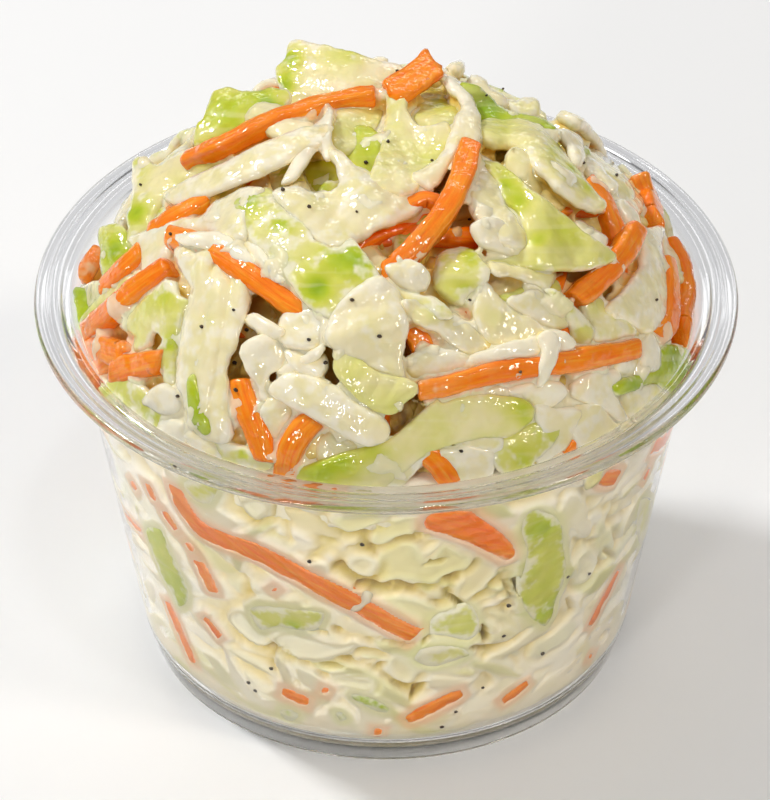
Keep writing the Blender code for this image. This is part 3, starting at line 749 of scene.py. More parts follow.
def filler(seed, count, low, high, front_skip):
    rng = random.Random(seed)
    for i in range(count):
        share = (i + 0.5) / count
        tilt = math.acos(1 - 0.66 * share) * 0.97
        azimuth = i * 2.399963 + rng.uniform(-0.3, 0.3)
        h = rng.uniform(low, high)
        front = math.sin(azimuth) < 0.25 or tilt < 0.35
        if front_skip and front:
            h = rng.uniform(low, -1.1)
        place = patch(azimuth, tilt, rng.uniform(0, math.pi))
        kind = rng.random()
        sd = seed * 100 + i
        if kind < 0.17:
            length = rng.uniform(10, 22)
            k = 6
            bend = rng.uniform(-0.12, 0.12) * length
            xs = np.linspace(-length / 2, length / 2, k)
            ys = bend * (1 - (2 * xs / length) ** 2)
            hs = h + np.array([rng.uniform(-0.5, 0.5) for _ in range(k)])
            stick(carrot, place(xs, ys, hs), rng.uniform(2.0, 2.7), rng.uniform(1.8, 2.3), seed=sd,
                  film=rng.uniform(0.1, 0.5), step=0.6, twist=rng.uniform(-0.8, 0.8))
            continue
        outline = shred_outline(rng, rng.uniform(9, 21), rng.uniform(3.4, 7.5))
        outline[:, 2] = h + np.array([rng.uniform(-0.9, 0.9) for _ in range(len(outline))])
        green = rng.random()
        target = greens if green < 0.3 else cabbage
        level = rng.uniform(0.3, 0.75) if green < 0.3 else rng.uniform(0.02, 0.2)
        spots = [(rng.uniform(-8, 8), rng.uniform(-2, 2), rng.uniform(1.5, 3.5), rng.uniform(0.1, 0.4))] if green < 0.4 else []
        leaf(target, outline, place, 1.0, h=h, thick=rng.uniform(1.0, 1.7), bulge=rng.uniform(0.1, 0.7),
             ruffle=rng.uniform(0.2, 0.6), rough=0.22, base_green=level, spots=spots, film=rng.uniform(0.25, 0.65),
             step=0.62, seed=sd, grain_turn=rng.uniform(0, 3))


top_pieces()
filler(1, 70, -3.2, -1.7, False)
filler(2, 78, -2.2, 0.9, True)


def edge_shreds():
    """A few shreds over the dressing at the heap's sides, near the cup's mouth."""
    rng = random.Random(21)
    for i, (azimuth, tilt, turn, h, level) in enumerate(((7, 1.10, 0.5, -0.6, 0.06), (14, 1.00, 2.2, -0.8, 0.14),
                                                         (30, 1.14, 0.2, -0.4, 0.05), (166, 1.08, 0.4, -0.6, 0.12),
                                                         (158, 0.96, 2.6, -0.5, 0.05), (100, 1.12, 0.1, -0.3, 0.10))):
        outline = shred_outline(rng, rng.uniform(11, 15), rng.uniform(4.2, 5.6))
        outline[:, 2] = h + np.array([rng.uniform(-0.3, 0.3) for _ in range(len(outline))])
        leaf(cabbage, outline, patch(math.radians(azimuth), tilt, turn), 1.0, h=h, thick=1.3, bulge=0.4, ruffle=0.3,
             rough=0.2, base_green=level, film=0.45, step=0.6, seed=300 + i, grain_turn=turn)


edge_shreds()
heap_parts = [store.arrays() for store in (cabbage, greens, carrot)]


# ---------------------------------------------------------------- shreds pressed against the wall
WALL = []                 # outlines on the unrolled wall, for the dressing to wrap round
PALE = []                 # pale shreds, smeared against the wall: outline, colour, depth
CARROT_HALO, GREEN_HALO = (255, 190, 144), (224, 226, 152)


def wall_outline(text):
    rows = read(text)
    u, v = wall_uv(rows[:, 0], rows[:, 1])
    return np.stack([u, v, rows[:, 2]], 1)


def wall_leaf(outline, green, film=0.25, thick=1.0, seed=0, depth=0.0, spots=(), store=None, ribs=0.0):
    target = store or (greens if green > 0.25 else cabbage)
    if target is cabbage:
        PALE.append((spline(outline[:, :2], 0.5, True), (244, 236, 200) if green < 0.1 else (232, 228, 160), depth))
        return
    outline = outline.copy()
    middle = outline[:, :2].mean(0)
    away = outline[:, :2] - middle
    outline[:, :2] += away * (0.3 / np.maximum(np.linalg.norm(away, axis=1), 0.3))[:, None]
    leaf(target, outline, on_wall, 1.0, h=depth, thick=thick, bulge=-0.02, ruffle=0.02 + 0.5 * depth, rough=0.12,
         base_green=green, spots=spots, film=film, edge_film=0.75, step=0.5, seed=seed, flush=True, ribs=ribs)
    WALL.append((spline(outline[:, :2], 0.5, True), depth, 0.05, GREEN_HALO))


def wall_carrot(line, width, seed=0, film=0.2, taper=0.35):
    """A carrot cut lying along the wall: line of (length round, height), width in mm."""
    path = spline(np.asarray(line, float), 0.8, False)
    n = len(path)
    t = np.gradient(path, axis=0)
    t /= np.linalg.norm(t, axis=1)[:, None]
    side = np.stack([-t[:, 1], t[:, 0]], 1)
    s = np.linspace(-1, 1, n)
    w = 0.5 * width * (1 - taper * np.abs(s) ** 3) * (1 + 0.22 * wobble(path, 3.0, seed)) + 0.62
    outline = np.vstack([path + side * w[:, None], (path - side * w[:, None])[::-1]])
    outline = np.column_stack([outline, np.full(len(outline), math.nan)])
    leaf(carrot, outline, on_wall, 1.0, h=0.0, thick=1.8, bulge=0.0, ruffle=0.02, rough=0.26, base_green=0.5,
         film=film * 0.6, edge_film=0.85, step=0.42, seed=seed, flush=True, lip=0.95,
         grain_turn=math.atan2(path[-1, 1] - path[0, 1], path[-1, 0] - path[0, 0]))
    WALL.append((outline[:, :2], 0.0, 0.05, CARROT_HALO))


def line_on_wall(text):
    rows = read(text)
    u, v = wall_uv(rows[:, 0], rows[:, 1])
    return np.stack([u, v], 1)


def wall_pieces():
    wall_carrot(line_on_wall("174,484 180,502 198,527 224,541 254,552 289,570 323,588 357,605 392,625 418,638"), 2.25, 1, 0.12, 0.15)
    wall_carrot(line_on_wall("128,476 138,494"), 1.2, 2, 0.35)
    wall_carrot(line_on_wall("145,480 155,504"), 1.2, 3, 0.35)
    wall_carrot(line_on_wall("160,507 178,534"), 1.2, 4, 0.35)
    wall_carrot(line_on_wall("183,539 196,555"), 0.9, 5, 0.4)
    wall_carrot(line_on_wall("196,558 206,578 215,596"), 1.6, 6, 0.25)
    wall_carrot(line_on_wall("165,598 178,628 194,666"), 1.7, 7, 0.25)
    wall_carrot(line_on_wall("201,614 222,641"), 1.1, 8, 0.3)
    wall_carrot(line_on_wall("124,512 144,534"), 0.8, 9, 0.4)
    wall_carrot(line_on_wall("269,586 279,594"), 0.9, 10, 0.2)
    wall_carrot(line_on_wall("278,690 296,698 312,704"), 1.5, 11, 0.2)
    wall_carrot(line_on_wall("318,688 332,694"), 0.9, 12, 0.35)
    wall_carrot(line_on_wall("404,722 428,710 448,700 466,691"), 1.6, 13, 0.25, 0.6)
    wall_carrot(line_on_wall("500,704 514,694 531,681"), 1.35, 14, 0.3, 0.6)
    wall_carrot(line_on_wall("621,566 606,596 588,630"), 1.5, 15, 0.25, 0.5)
    wall_carrot(line_on_wall("600,478 620,478"), 1.8, 16, 0.3)
    wall_carrot(line_on_wall("652,464 642,484"), 1.1, 17, 0.3)
    wall_carrot(line_on_wall("594,650 588,662"), 0.9, 18, 0.3)
    wall_carrot(line_on_wall("370,731 386,733"), 0.8, 19, 0.6)
    wall_carrot(line_on_wall("262,488 300,492 345,496"), 1.5, 20, 0.5)
    wall_carrot(line_on_wall("636,588 626,612"), 0.9, 22, 0.4)
    o = wall_outline("420,530 426,512 472,508 482,514 497,524 511,535 520,549 518,558 506,565 493,560 472,549 447,539")
    leaf(carrot, o, on_wall, 1.0, h=0.0, thick=2.0, bulge=0, ruffle=0.02, rough=0.12, base_green=0.75, film=0.32, edge_film=0.6,
         step=0.42, seed=21, flush=True, grain_turn=-0.5, lip=0.95)
    WALL.append((spline(o[:, :2], 0.5, True), 0.0, 0.05, CARROT_HALO))
    leaf(cabbage, wall_outline("361,594 367,591 372,594 371,601 365,607 358,612 351,611 352,606 359,602"), on_wall, 1.0, h=-0.28,
         thick=0.8, bulge=0.0, ruffle=0.0, rough=0.12, base_green=0.0, film=0.85, edge_film=0.3, step=0.3, seed=31, flush=True,
         ribs=0, lip=0.35)
    wall_leaf(wall_outline("145,529 161,530 168,544 172,556 182,576 189,595 185,606 177,607 170,592 161,576 152,553"), 0.6, 0.2, seed=1)
    wall_leaf(wall_outline("527,514 538,509 552,513 562,521 565,549 567,576 558,599 553,618 545,627 532,621 522,606 520,583 525,556 519,530"), 0.5, 0.22, seed=2,
              spots=[(*[v[0] for v in wall_uv(545, 524)], 2.0, 0.2), (*[v[0] for v in wall_uv(545, 612)], 1.5, 0.3)])
    wall_leaf(wall_outline("248,609 260,605 290,608 324,613 320,628 302,632 280,628 262,632"), 0.36, 0.3, seed=3,
              spots=[(*[v[0] for v in wall_uv(294, 626)], 1.2, 0.5)])
    wall_leaf(wall_outline("239,608 251,617 268,631 274,641 269,648 257,648 243,639 231,627 225,615"), 0.03, 0.4, seed=4, thick=1.4)
    wall_leaf(wall_outline("271,636 290,630 313,636 335,643 356,640 364,645 342,658 313,663 290,658 276,647"), 0.03, 0.4, seed=5, thick=1.5)
    wall_leaf(wall_outline("381,598 403,597 427,602 441,611 436,626 424,640 414,630 394,611"), 0.22, 0.25, seed=6, depth=0.15)
    wall_leaf(wall_outline("433,618 449,612 472,608 480,621 480,636 467,644 449,640 430,636"), 0.45, 0.3, seed=7, depth=0.35)
    wall_leaf(wall_outline("476,552 503,562 496,579 477,598 460,607 452,602 457,586 466,567"), 0.05, 0.4, seed=8, depth=0.3, thick=1.4)
    wall_leaf(wall_outline("378,556 393,546 412,543 422,551 429,560 444,544 462,552 474,558 468,571 449,578 428,588 406,583 378,583"), 0.13, 0.3, seed=9,
              depth=0.25, thick=1.3, ribs=0.15)
    wall_leaf(wall_outline("372,530 392,520 414,516 424,524 418,536 400,540 382,548 370,546"), 0.16, 0.4, seed=10, depth=0.2)
    wall_leaf(wall_outline("420,650 440,646 462,648 470,656 450,664 428,668 414,660"), 0.28, 0.4, seed=11, depth=0.1)
    wall_leaf(wall_outline("330,520 352,514 374,512 384,522 366,532 344,534"), 0.22, 0.4, seed=12, depth=0.2)
    wall_leaf(wall_outline("182,482 202,478 222,481 219,492 210,504 198,503 188,495"), 0.32, 0.3, seed=13)
    wall_leaf(wall_outline("350,693 366,696 382,702 392,712 380,714 364,706 352,700"), 0.75, 0.2, seed=14)
    wall_leaf(wall_outline("334,712 342,712 348,719 340,722"), 0.6, 0.3, seed=15)
    wall_leaf(wall_outline("279,710 290,709 300,716 292,722 282,718"), 0.5, 0.4, seed=16)
    wall_leaf(wall_outline("350,558 368,556 378,566 372,580 356,578 344,568"), 0.05, 0.4, seed=17, depth=0.25, thick=1.4)
    wall_leaf(wall_outline("330,672 352,676 374,682 372,692 350,690 332,684"), 0.06, 0.5, seed=18, depth=0.1, thick=1.2)
    wall_leaf(wall_outline("395,655 410,662 420,672 408,686 392,680 384,668"), 0.05, 0.4, seed=19, depth=0.2, thick=1.2)
    wall_leaf(wall_outline("236,500 250,496 268,500 272,512 258,522 246,516"), 0.04, 0.5, seed=20, depth=0.0, thick=1.2)
    wall_leaf(wall_outline("600,520 612,530 616,548 606,562 596,548"), 0.2, 0.4, seed=21, depth=0.15)
    wall_leaf(wall_outline("577,560 590,548 600,560 590,580 578,584"), 0.05, 0.5, seed=22, depth=0.1)
    wall_leaf(wall_outline("640,500 650,496 652,520 642,545 636,530"), 0.3, 0.4, seed=23, depth=0.0)
    # the sides and back, which the picture doesn't show
    rng = random.Random(77)
    taken = [(w[0].mean(0), 0.5 * np.linalg.norm(w[0].max(0) - w[0].min(0))) for w in WALL + PALE]
    made, tries = 0, 0
    while made < 74 and tries < 4000:
        tries += 1
        u = rng.uniform(-math.pi, math.pi) * UNROLL
        v = rng.uniform(5.5, 38.5)
        carrots = rng.random() < 0.42
        length = rng.uniform(4, 15) if carrots else rng.uniform(5, 12)
        width = rng.uniform(0.9, 2.2) if carrots else rng.uniform(2.2, 4.5)
        size = 0.36 * length + 0.5 * width
        if abs(u) < 1.22 * UNROLL and (abs(u) < 1.1 * UNROLL or rng.random() < 0.8):
            continue
        if any(np.hypot(min(abs(c[0] - u), 2 * math.pi * UNROLL - abs(c[0] - u)), c[1] - v) < 0.62 * (size + r) + 0.4
               for c, r in taken):
            continue
        turn = rng.uniform(-0.9, 0.9) + (math.pi / 2 if rng.random() < 0.25 else 0)
        c, s = math.cos(turn), math.sin(turn)
        if abs(s) * length / 2 > min(v - 4.2, 39.5 - v):
            continue
        taken.append((np.array([u, v]), size))
        made += 1
        if carrots:
            xs = np.linspace(-length / 2, length / 2, 4)
            ys = rng.uniform(-0.12, 0.12) * length * (1 - (2 * xs / length) ** 2)
            wall_carrot(np.stack([u + xs * c - ys * s, v + xs * s + ys * c], 1), width, 100 + made, rng.uniform(0.15, 0.45),
                        rng.uniform(0.2, 0.6))
        else:
            o = shred_outline(rng, length, width)
            x, y = o[:, 0].copy(), o[:, 1].copy()
            o[:, 0], o[:, 1] = u + x * c - y * s, v + x * s + y * c
            wall_leaf(o, rng.choice([0.03, 0.05, 0.12, 0.25, 0.45, 0.6]), rng.uniform(0.25, 0.5), rng.uniform(1.0, 1.5),
                      200 + made, rng.choice([0, 0, 0.15, 0.3]))


wall_pieces()

# hollows between the pressed shreds: (length round, height, half length, half height, turn, depth)
POCKETS = []


def pockets():
    for text, depth in (("356,588 393,592 8", 1.9), ("311,630 325,634 6", 1.4), ("320,666 340,668 6", 1.7),
                        ("484,628 487,642 8", 2.0), ("474,649 490,651 5", 1.8), ("412,700 424,686 10", 1.9),
                        ("570,600 575,612 6", 1.3), ("516,580 522,594 8", 1.6), ("417,534 430,538 4", 1.2),
                        ("606,550 617,558 6", 1.4), ("428,566 446,562 7", 1.7), ("446,596 470,612 6", 1.6),
                        ("388,594 420,590 6", 1.5), ("350,550 372,548 5", 1.2), ("500,575 514,600 5", 1.2),
                        ("380,640 410,646 4", 0.9), ("232,660 246,668 4", 0.7), ("330,542 350,540 4", 0.9),
                        ("586,544 600,540 5", 1.0), ("280,648 300,664 4", 0.8), ("424,644 432,636 4", 1.2)):
        first, second, wide = text.split()
        a, b = line_on_wall(first + " " + second)
        d = b - a
        POCKETS.append(((a + b) / 2, np.linalg.norm(d) / 2, float(wide) * 0.5 * PX * 1.1, math.atan2(d[1], d[0]), depth))
    rng = random.Random(5)
    for _ in range(56):
        u = rng.uniform(1.0, 2 * math.pi - 1.0) * UNROLL
        POCKETS.append((np.array([(u + math.pi * UNROLL) % (2 * math.pi * UNROLL) - math.pi * UNROLL, rng.uniform(6, 37)]),
                        rng.uniform(0.7, 2.2), rng.uniform(0.3, 0.7), rng.uniform(-0.7, 0.7), rng.uniform(0.6, 1.9)))


pockets()


# ---------------------------------------------------------------- meshes and materials
def mesh_object(name, verts, faces, attributes=(), smooth=True):
    """A mesh from millimetre points, with per-point attributes."""
    mesh = bpy.data.meshes.new(name)
    verts = np.asarray(verts, np.float32) * MM
    faces = np.asarray(faces, np.int32)
    mesh.vertices.add(len(verts))
    mesh.vertices.foreach_set("co", verts.ravel())
    n = faces.shape[1]
    mesh.loops.add(faces.size)
    mesh.loops.foreach_set("vertex_index", faces.ravel())
    mesh.polygons.add(len(faces))
    mesh.polygons.foreach_set("loop_start", np.arange(0, faces.size, n, dtype=np.int32))
    mesh.polygons.foreach_set("loop_total", np.full(len(faces), n, np.int32))
    mesh.update()
    mesh.validate()
    for key, values in attributes:
        values = np.asarray(values, np.float32)
        if values.ndim == 1:
            mesh.attributes.new(key, "FLOAT", "POINT").data.foreach_set("value", values)
        else:
            mesh.attributes.new(key, "FLOAT_VECTOR", "POINT").data.foreach_set("vector", values.ravel())
    if smooth:
        mesh.shade_smooth()
    obj = bpy.data.objects.new(name, mesh)
    bpy.context.scene.collection.objects.link(obj)
    return obj


def sink(verts):
    """How deep each point lies under the heap's outline, 0 to 1."""
    depth = heap(verts[:, 0], verts[:, 1]) - verts[:, 2]
    r = np.hypot(verts[:, 0], verts[:, 1])
    to_wall = inner_r(verts[:, 2]) - r
    depth = np.where(verts[:, 2] < edge_height(np.arctan2(verts[:, 1], verts[:, 0])) - 0.5, np.minimum(depth, to_wall * 1.4), depth)
    return np.clip((depth - 0.9) / 3.2, 0, 1)


def srgb(r, g, b):
    return tuple(((v / 255 + 0.055) / 1.055) ** 2.4 if v > 10 else v / 255 / 12.92 for v in (r, g, b)) + (1.0,)


class Tree:
    """Short names for building a material."""

    def __init__(self, name):
        self.material = bpy.data.materials.new(name)
        self.material.use_nodes = True
        self.nodes = self.material.node_tree.nodes
        self.links = self.material.node_tree.links
        self.nodes.clear()
        self.out = self.nodes.new("ShaderNodeOutputMaterial")
        self.shader = self.nodes.new("ShaderNodeBsdfPrincipled")
        self.links.new(self.shader.outputs[0], self.out.inputs[0])

    def link(self, a, b):
        self.links.new(a, b)

    def attribute(self, name, vector=False):
        n = self.nodes.new("ShaderNodeAttribute")
        n.attribute_name = name
        return n.outputs["Vector" if vector else "Fac"]

    def position(self):
        return self.nodes.new("ShaderNodeTexCoord").outputs["Object"]

    def scaled(self, vector, scale):
        n = self.nodes.new("ShaderNodeMapping")
        n.inputs["Scale"].default_value = scale
        self.link(vector, n.inputs["Vector"])
        return n.outputs[0]

    def noise(self, vector, scale, detail=2.0, rough=0.5):
        n = self.nodes.new("ShaderNodeTexNoise")
        n.inputs["Scale"].default_value = scale
        n.inputs["Detail"].default_value = detail
        n.inputs["Roughness"].default_value = rough
        self.link(vector, n.inputs["Vector"])
        return n.outputs["Fac"]

    def voronoi(self, vector, scale):
        n = self.nodes.new("ShaderNodeTexVoronoi")
        n.inputs["Scale"].default_value = scale
        self.link(vector, n.inputs["Vector"])
        return n.outputs["Distance"]

    def math(self, op, a, b=None, clamp=False):
        n = self.nodes.new("ShaderNodeMath")
        n.operation = op
        n.use_clamp = clamp
        for i, v in enumerate((a, b)):
            if v is None:
                continue
            if isinstance(v, (int, float)):
                n.inputs[i].default_value = v
            else:
                self.link(v, n.inputs[i])
        return n.outputs[0]

    def span(self, value, a, b, c=0.0, d=1.0, smooth=True):
        n = self.nodes.new("ShaderNodeMapRange")
        n.interpolation_type = "SMOOTHSTEP" if smooth else "LINEAR"
        for socket, v in zip(("From Min", "From Max", "To Min", "To Max"), (a, b, c, d)):
            n.inputs[socket].default_value = v
        self.link(value, n.inputs["Value"])
        return n.outputs[0]

    def ramp(self, value, stops):
        n = self.nodes.new("ShaderNodeValToRGB")
        ramp = n.color_ramp
        while len(ramp.elements) < len(stops):
            ramp.elements.new(0.5)
        for element, (at, colour) in zip(ramp.elements, stops):
            element.position = at
            element.color = colour
        self.link(value, n.inputs[0])
        return n.outputs[0]

    def mix(self, factor, a, b, kind="MIX"):
        n = self.nodes.new("ShaderNodeMix")
        n.data_type = "RGBA"
        n.blend_type = kind
        for socket, v in ((n.inputs[0], factor), (n.inputs[6], a), (n.inputs[7], b)):
            if isinstance(v, (int, float)):
                socket.default_value = v
            elif isinstance(v, tuple):
                socket.default_value = v
            else:
                self.link(v, socket)
        return n.outputs[2]

    def bump(self, height, strength, distance):
        n = self.nodes.new("ShaderNodeBump")
        n.inputs["Strength"].default_value = strength
        n.inputs["Distance"].default_value = distance
        self.link(height, n.inputs["Height"])
        self.link(n.outputs[0], self.shader.inputs["Normal"])
        return n

    def coat_bump(self, height, strength, distance):
        """Fine wet relief that only the gloss shows."""
        n = self.nodes.new("ShaderNodeBump")
        n.inputs["Strength"].default_value = strength
        n.inputs["Distance"].default_value = distance
        self.link(height, n.inputs["Height"])
        self.link(n.outputs[0], self.shader.inputs["Coat Normal"])

    def set(self, **values):
        for key, v in values.items():
            socket = self.shader.inputs[key.replace("_", " ")]
            if hasattr(v, "is_linked") or hasattr(v, "links"):
                self.link(v, socket)
            else:
                socket.default_value = v


CREAM = srgb(249, 243, 223)


def wet(tree, weight=0.3, radius=0.0018, coat=0.8, spec=0.5):
    tree.set(Subsurface_Weight=weight, Subsurface_Radius=(1.0, 0.64, 0.26), Subsurface_Scale=radius,
             IOR=1.36, Specular_IOR_Level=spec, Coat_Weight=coat, Coat_Roughness=0.06, Coat_IOR=1.5)
    tree.shader.subsurface_method = "BURLEY"
    place = tree.position()
    drops = tree.noise(place, 2300, 0.0, 0.5)
    waves = tree.noise(place, 620, 1.0, 0.5)
    tree.coat_bump(tree.math("ADD", tree.math("MULTIPLY", drops, 0.13), waves), 1.0, 0.00036)


def shaded(tree, colour, stops):
    """The colour with painted shade multiplied in: the ramp of stops, read by the deep attribute, makes it darker and
    warmer in crevices and hollows.
    """
    return tree.mix(1.0, colour, tree.ramp(tree.attribute("deep"), stops), "MULTIPLY")


# painted shade: colours multiplied into the base colour as the deep attribute rises, a warm ochre standing in for the
# shade inside crevices and hollows
CREVICE_SHADE = [(0.0, srgb(255, 255, 255)), (0.25, srgb(254, 248, 220)), (0.55, srgb(250, 229, 156)), (1.0, srgb(243, 203, 94))]
SIDE_CREVICE_SHADE = [(0.0, srgb(255, 255, 252)), (0.25, srgb(249, 241, 206)), (0.55, srgb(226, 211, 134)), (1.0, srgb(172, 142, 42))]
CARROT_CREVICE_SHADE = [(0.0, srgb(255, 255, 255)), (0.4, srgb(254, 236, 206)), (1.0, srgb(240, 164, 84))]


def leaf_material(name):
    t = Tree(name)
    place, grain = t.position(), t.attribute("grain", True)
    patchy = t.noise(place, 300, 2.0, 0.55)
    green = t.math("ADD", t.attribute("green"), t.math("MULTIPLY", t.math("SUBTRACT", patchy, 0.5), 0.42))
    colour = t.ramp(green, [(0.0, srgb(243, 232, 190)), (0.13, srgb(239, 229, 170)), (0.3, srgb(227, 223, 134)),
                            (0.5, srgb(211, 213, 84)), (0.72, srgb(184, 200, 34)), (1.0, srgb(142, 176, 2))])
    veins = t.noise(t.scaled(grain, (0.12, 1.0, 0.15)), 1.0, 1.0, 0.5)
    colour = t.mix(t.span(veins, 0.52, 0.72, 0.0, 0.22), colour, srgb(244, 236, 196))
    film = t.math("ADD", t.attribute("film"), t.math("MULTIPLY", t.math("SUBTRACT", t.noise(place, 520, 2.0, 0.6), 0.5), 1.3))
    mask = t.span(film, 0.42, 0.76, 0.0, 0.78)
    colour = t.mix(mask, colour, CREAM)
    # painted shade in the crevices between the shreds
    t.link(shaded(t, colour, CREVICE_SHADE), t.shader.inputs["Base Color"])
    fine = t.noise(place, 1300, 1.0, 0.55)
    broad = t.noise(place, 420, 1.0, 0.5)
    height = t.math("ADD", t.math("MULTIPLY", fine, 0.07), t.math("ADD", t.math("MULTIPLY", broad, 1.1), t.math("MULTIPLY", veins, 0.10)))
    t.bump(height, 0.8, 0.0005)
    t.set(Roughness=t.span(t.noise(place, 700, 0.0), 0.3, 0.7, 0.30, 0.5))
    wet(t, 0.42, 0.0014, 1.0, 0.3)
    return t.material


def carrot_material():
    t = Tree("carrot_looks")
    place, grain = t.position(), t.attribute("grain", True)
    streak = t.noise(t.scaled(grain, (0.22, 2.6, 2.6)), 1.0, 2.0, 0.62)
    colour = t.ramp(streak, [(0.25, srgb(251, 116, 4)), (0.45, srgb(255, 136, 12)), (0.58, srgb(255, 150, 24)), (0.78, srgb(255, 172, 56))])
    warm = t.noise(place, 160, 1.0)
    colour = t.mix(t.span(warm, 0.45, 0.72, 0.0, 0.4), colour, srgb(250, 106, 6))
    film = t.math("ADD", t.attribute("film"), t.math("MULTIPLY", t.math("SUBTRACT", t.noise(place, 480, 2.0, 0.62), 0.5), 1.35))
    thin = t.span(film, 0.42, 0.75, 0.0, 0.42)
    thick = t.span(film, 0.74, 1.02, 0.0, 0.7)
    colour = t.mix(thin, colour, srgb(253, 152, 66))
    colour = t.mix(thick, colour, srgb(250, 214, 178))
    # painted shade in the crevices round the carrots
    t.link(shaded(t, colour, CARROT_CREVICE_SHADE), t.shader.inputs["Base Color"])
    fine = t.noise(place, 1500, 1.0, 0.6)
    height = t.math("ADD", t.math("MULTIPLY", fine, 0.2), t.math("ADD", t.math("MULTIPLY", streak, 0.3), t.math("MULTIPLY", t.noise(place, 460, 1.0), 0.8)))
    t.bump(height, 0.8, 0.0005)
    t.set(Roughness=t.span(t.noise(place, 800, 0.0), 0.3, 0.7, 0.28, 0.46))
    wet(t, 0.1, 0.001, 0.95, 0.2)
    return t.material


def dressing_material(name, stops, tones, scatter, coat):
    t = Tree(name)
    place = t.position()
    hue = t.noise(place, 140, 2.0, 0.5)
    colour = t.ramp(hue, [(at, srgb(*tone)) for at, tone in zip((0.3, 0.5, 0.7), tones)])
    tint = t.attribute("tint", True)
    strength = t.attribute("tint_amount")
    colour = t.mix(strength, colour, tint)
    # painted shade in the crevices and hollows
    t.link(shaded(t, colour, stops), t.shader.inputs["Base Color"])
    fine = t.noise(place, 1100, 1.0, 0.5)
    broad = t.noise(place, 380, 1.0, 0.5)
    t.bump(t.math("ADD", t.math("MULTIPLY", fine, 0.07), t.math("MULTIPLY", broad, 1.0)), 0.6, 0.0005)
    t.set(Roughness=t.span(t.noise(place, 600, 0.0), 0.3, 0.7, 0.28, 0.46))
    wet(t, scatter, 0.0009, coat, 0.3)
    return t.material


def pepper_material():
    t = Tree("pepper_looks")
    c = t.ramp(t.noise(t.position(), 2500, 2.0), [(0.35, srgb(36, 28, 22)), (0.6, srgb(74, 58, 42)), (0.75, srgb(128, 104, 74))])
    t.link(c, t.shader.inputs["Base Color"])
    t.bump(t.noise(t.position(), 6000, 2.0), 0.6, 0.0001)
    t.set(Roughness=0.45)
    return t.material


def clear_material():
    """Clear moulded plastic: refracts the view, lets the lamps' light through."""
    t = Tree("clear_looks")
    t.nodes.remove(t.shader)
    glass = t.nodes.new("ShaderNodeBsdfPrincipled")
    t.shader = glass
    place = t.position()
    t.set(Transmission_Weight=1.0, IOR=1.49)
    # the flange and foot are tinted grey-blue: painted shade standing in for the greys they show by reflection and
    # refraction
    t.link(t.ramp(t.attribute("rim"), [(0.0, (0.985, 0.988, 0.992, 1.0)), (1.0, (0.73, 0.74, 0.765, 1.0))]), t.shader.inputs["Base Color"])
    t.link(t.ramp(t.attribute("rim"), [(0.0, (0.42, 0.42, 0.43, 1.0)), (1.0, (1.0, 1.0, 1.0, 1.0))]), t.shader.inputs["Specular Tint"])
    t.set(Roughness=t.span(t.noise(place, 90, 0.0), 0.35, 0.7, 0.0, 0.012))
    through = t.nodes.new("ShaderNodeBsdfTransparent")
    through.inputs[0].default_value = (0.95, 0.96, 0.97, 1)
    path = t.nodes.new("ShaderNodeLightPath")
    mix = t.nodes.new("ShaderNodeMixShader")
    t.link(path.outputs["Is Shadow Ray"], mix.inputs[0])
    t.link(glass.outputs[0], mix.inputs[1])
    t.link(through.outputs[0], mix.inputs[2])
    t.link(mix.outputs[0], t.out.inputs[0])
    return t.material


def kind_object(name, store, material):
    verts, faces = store.arrays()
    # the deep attribute holds painted shade for the crevices between the shreds
    obj = mesh_object(name, verts, faces, (
        ("green", np.concatenate(store.green)), ("film", np.concatenate(store.film)),
        ("grain", np.vstack(store.grain)), ("deep", crevice_shade(verts, faces))))
    obj.data.materials.append(material)
    return obj


# ---------------------------------------------------------------- the dressing that fills the crevices
def core_dome(drop):
    """A closed dome under the shreds, down to the cup's mouth."""
    rings, segments = 26, 96
    verts, faces = [], []
    for i in range(rings):
        share = 1 - (i / rings) ** 1.1
        for k in range(segments):
            a = 2 * math.pi * k / segments
            r = (inner_r(38.0) - 0.35) * share
            x, y = r * math.cos(a), r * math.sin(a)
            z = float(heap(np.array([x]), np.array([y]))[0]) - drop
            verts.append((x, y, max(z, 36.4)))
    verts.append((0, 0, float(heap(np.array([0.0]), np.array([0.0]))[0]) - drop))
    for i in range(rings - 1):
        for k in range(segments):
            j = (k + 1) % segments
            p, q = i * segments, (i + 1) * segments
            faces += [(p + k, p + j, q + j), (p + k, q + j, q + k)]
    p = (rings - 1) * segments
    top = rings * segments
    for k in range(segments):
        faces.append((p + k, p + (k + 1) % segments, top))
    base = len(verts)
    for k in range(segments):
        a = 2 * math.pi * k / segments
        r = inner_r(35.0) - 0.35
        verts.append((r * math.cos(a), r * math.sin(a), 35.0))
    verts.append((0, 0, 35.0))
    for k in range(segments):
        j = (k + 1) % segments
        faces += [(base + k, base + j, j), (base + k, j, k), (base + k, len(verts) - 1, base + j)]
    return np.array(verts), np.array(faces)


def level_set(points, triangles, voxel, band):
    transform = vdb.createLinearTransform(voxel)
    return vdb.FloatGrid.createLevelSetFromPolygons(points.astype(np.float32), triangles=triangles.astype(np.uint32),
                                                    transform=transform, halfWidth=band)


def polygons(grid, iso, adaptivity=0.0):
    points, triangles, quads = grid.convertToPolygons(iso, adaptivity)
    split = np.vstack([quads[:, [0, 1, 2]], quads[:, [0, 2, 3]]]) if len(quads) else np.zeros((0, 3), int)
    triangles = np.vstack([triangles, split]) if len(triangles) else split
    return np.array(points, float), triangles.astype(int)


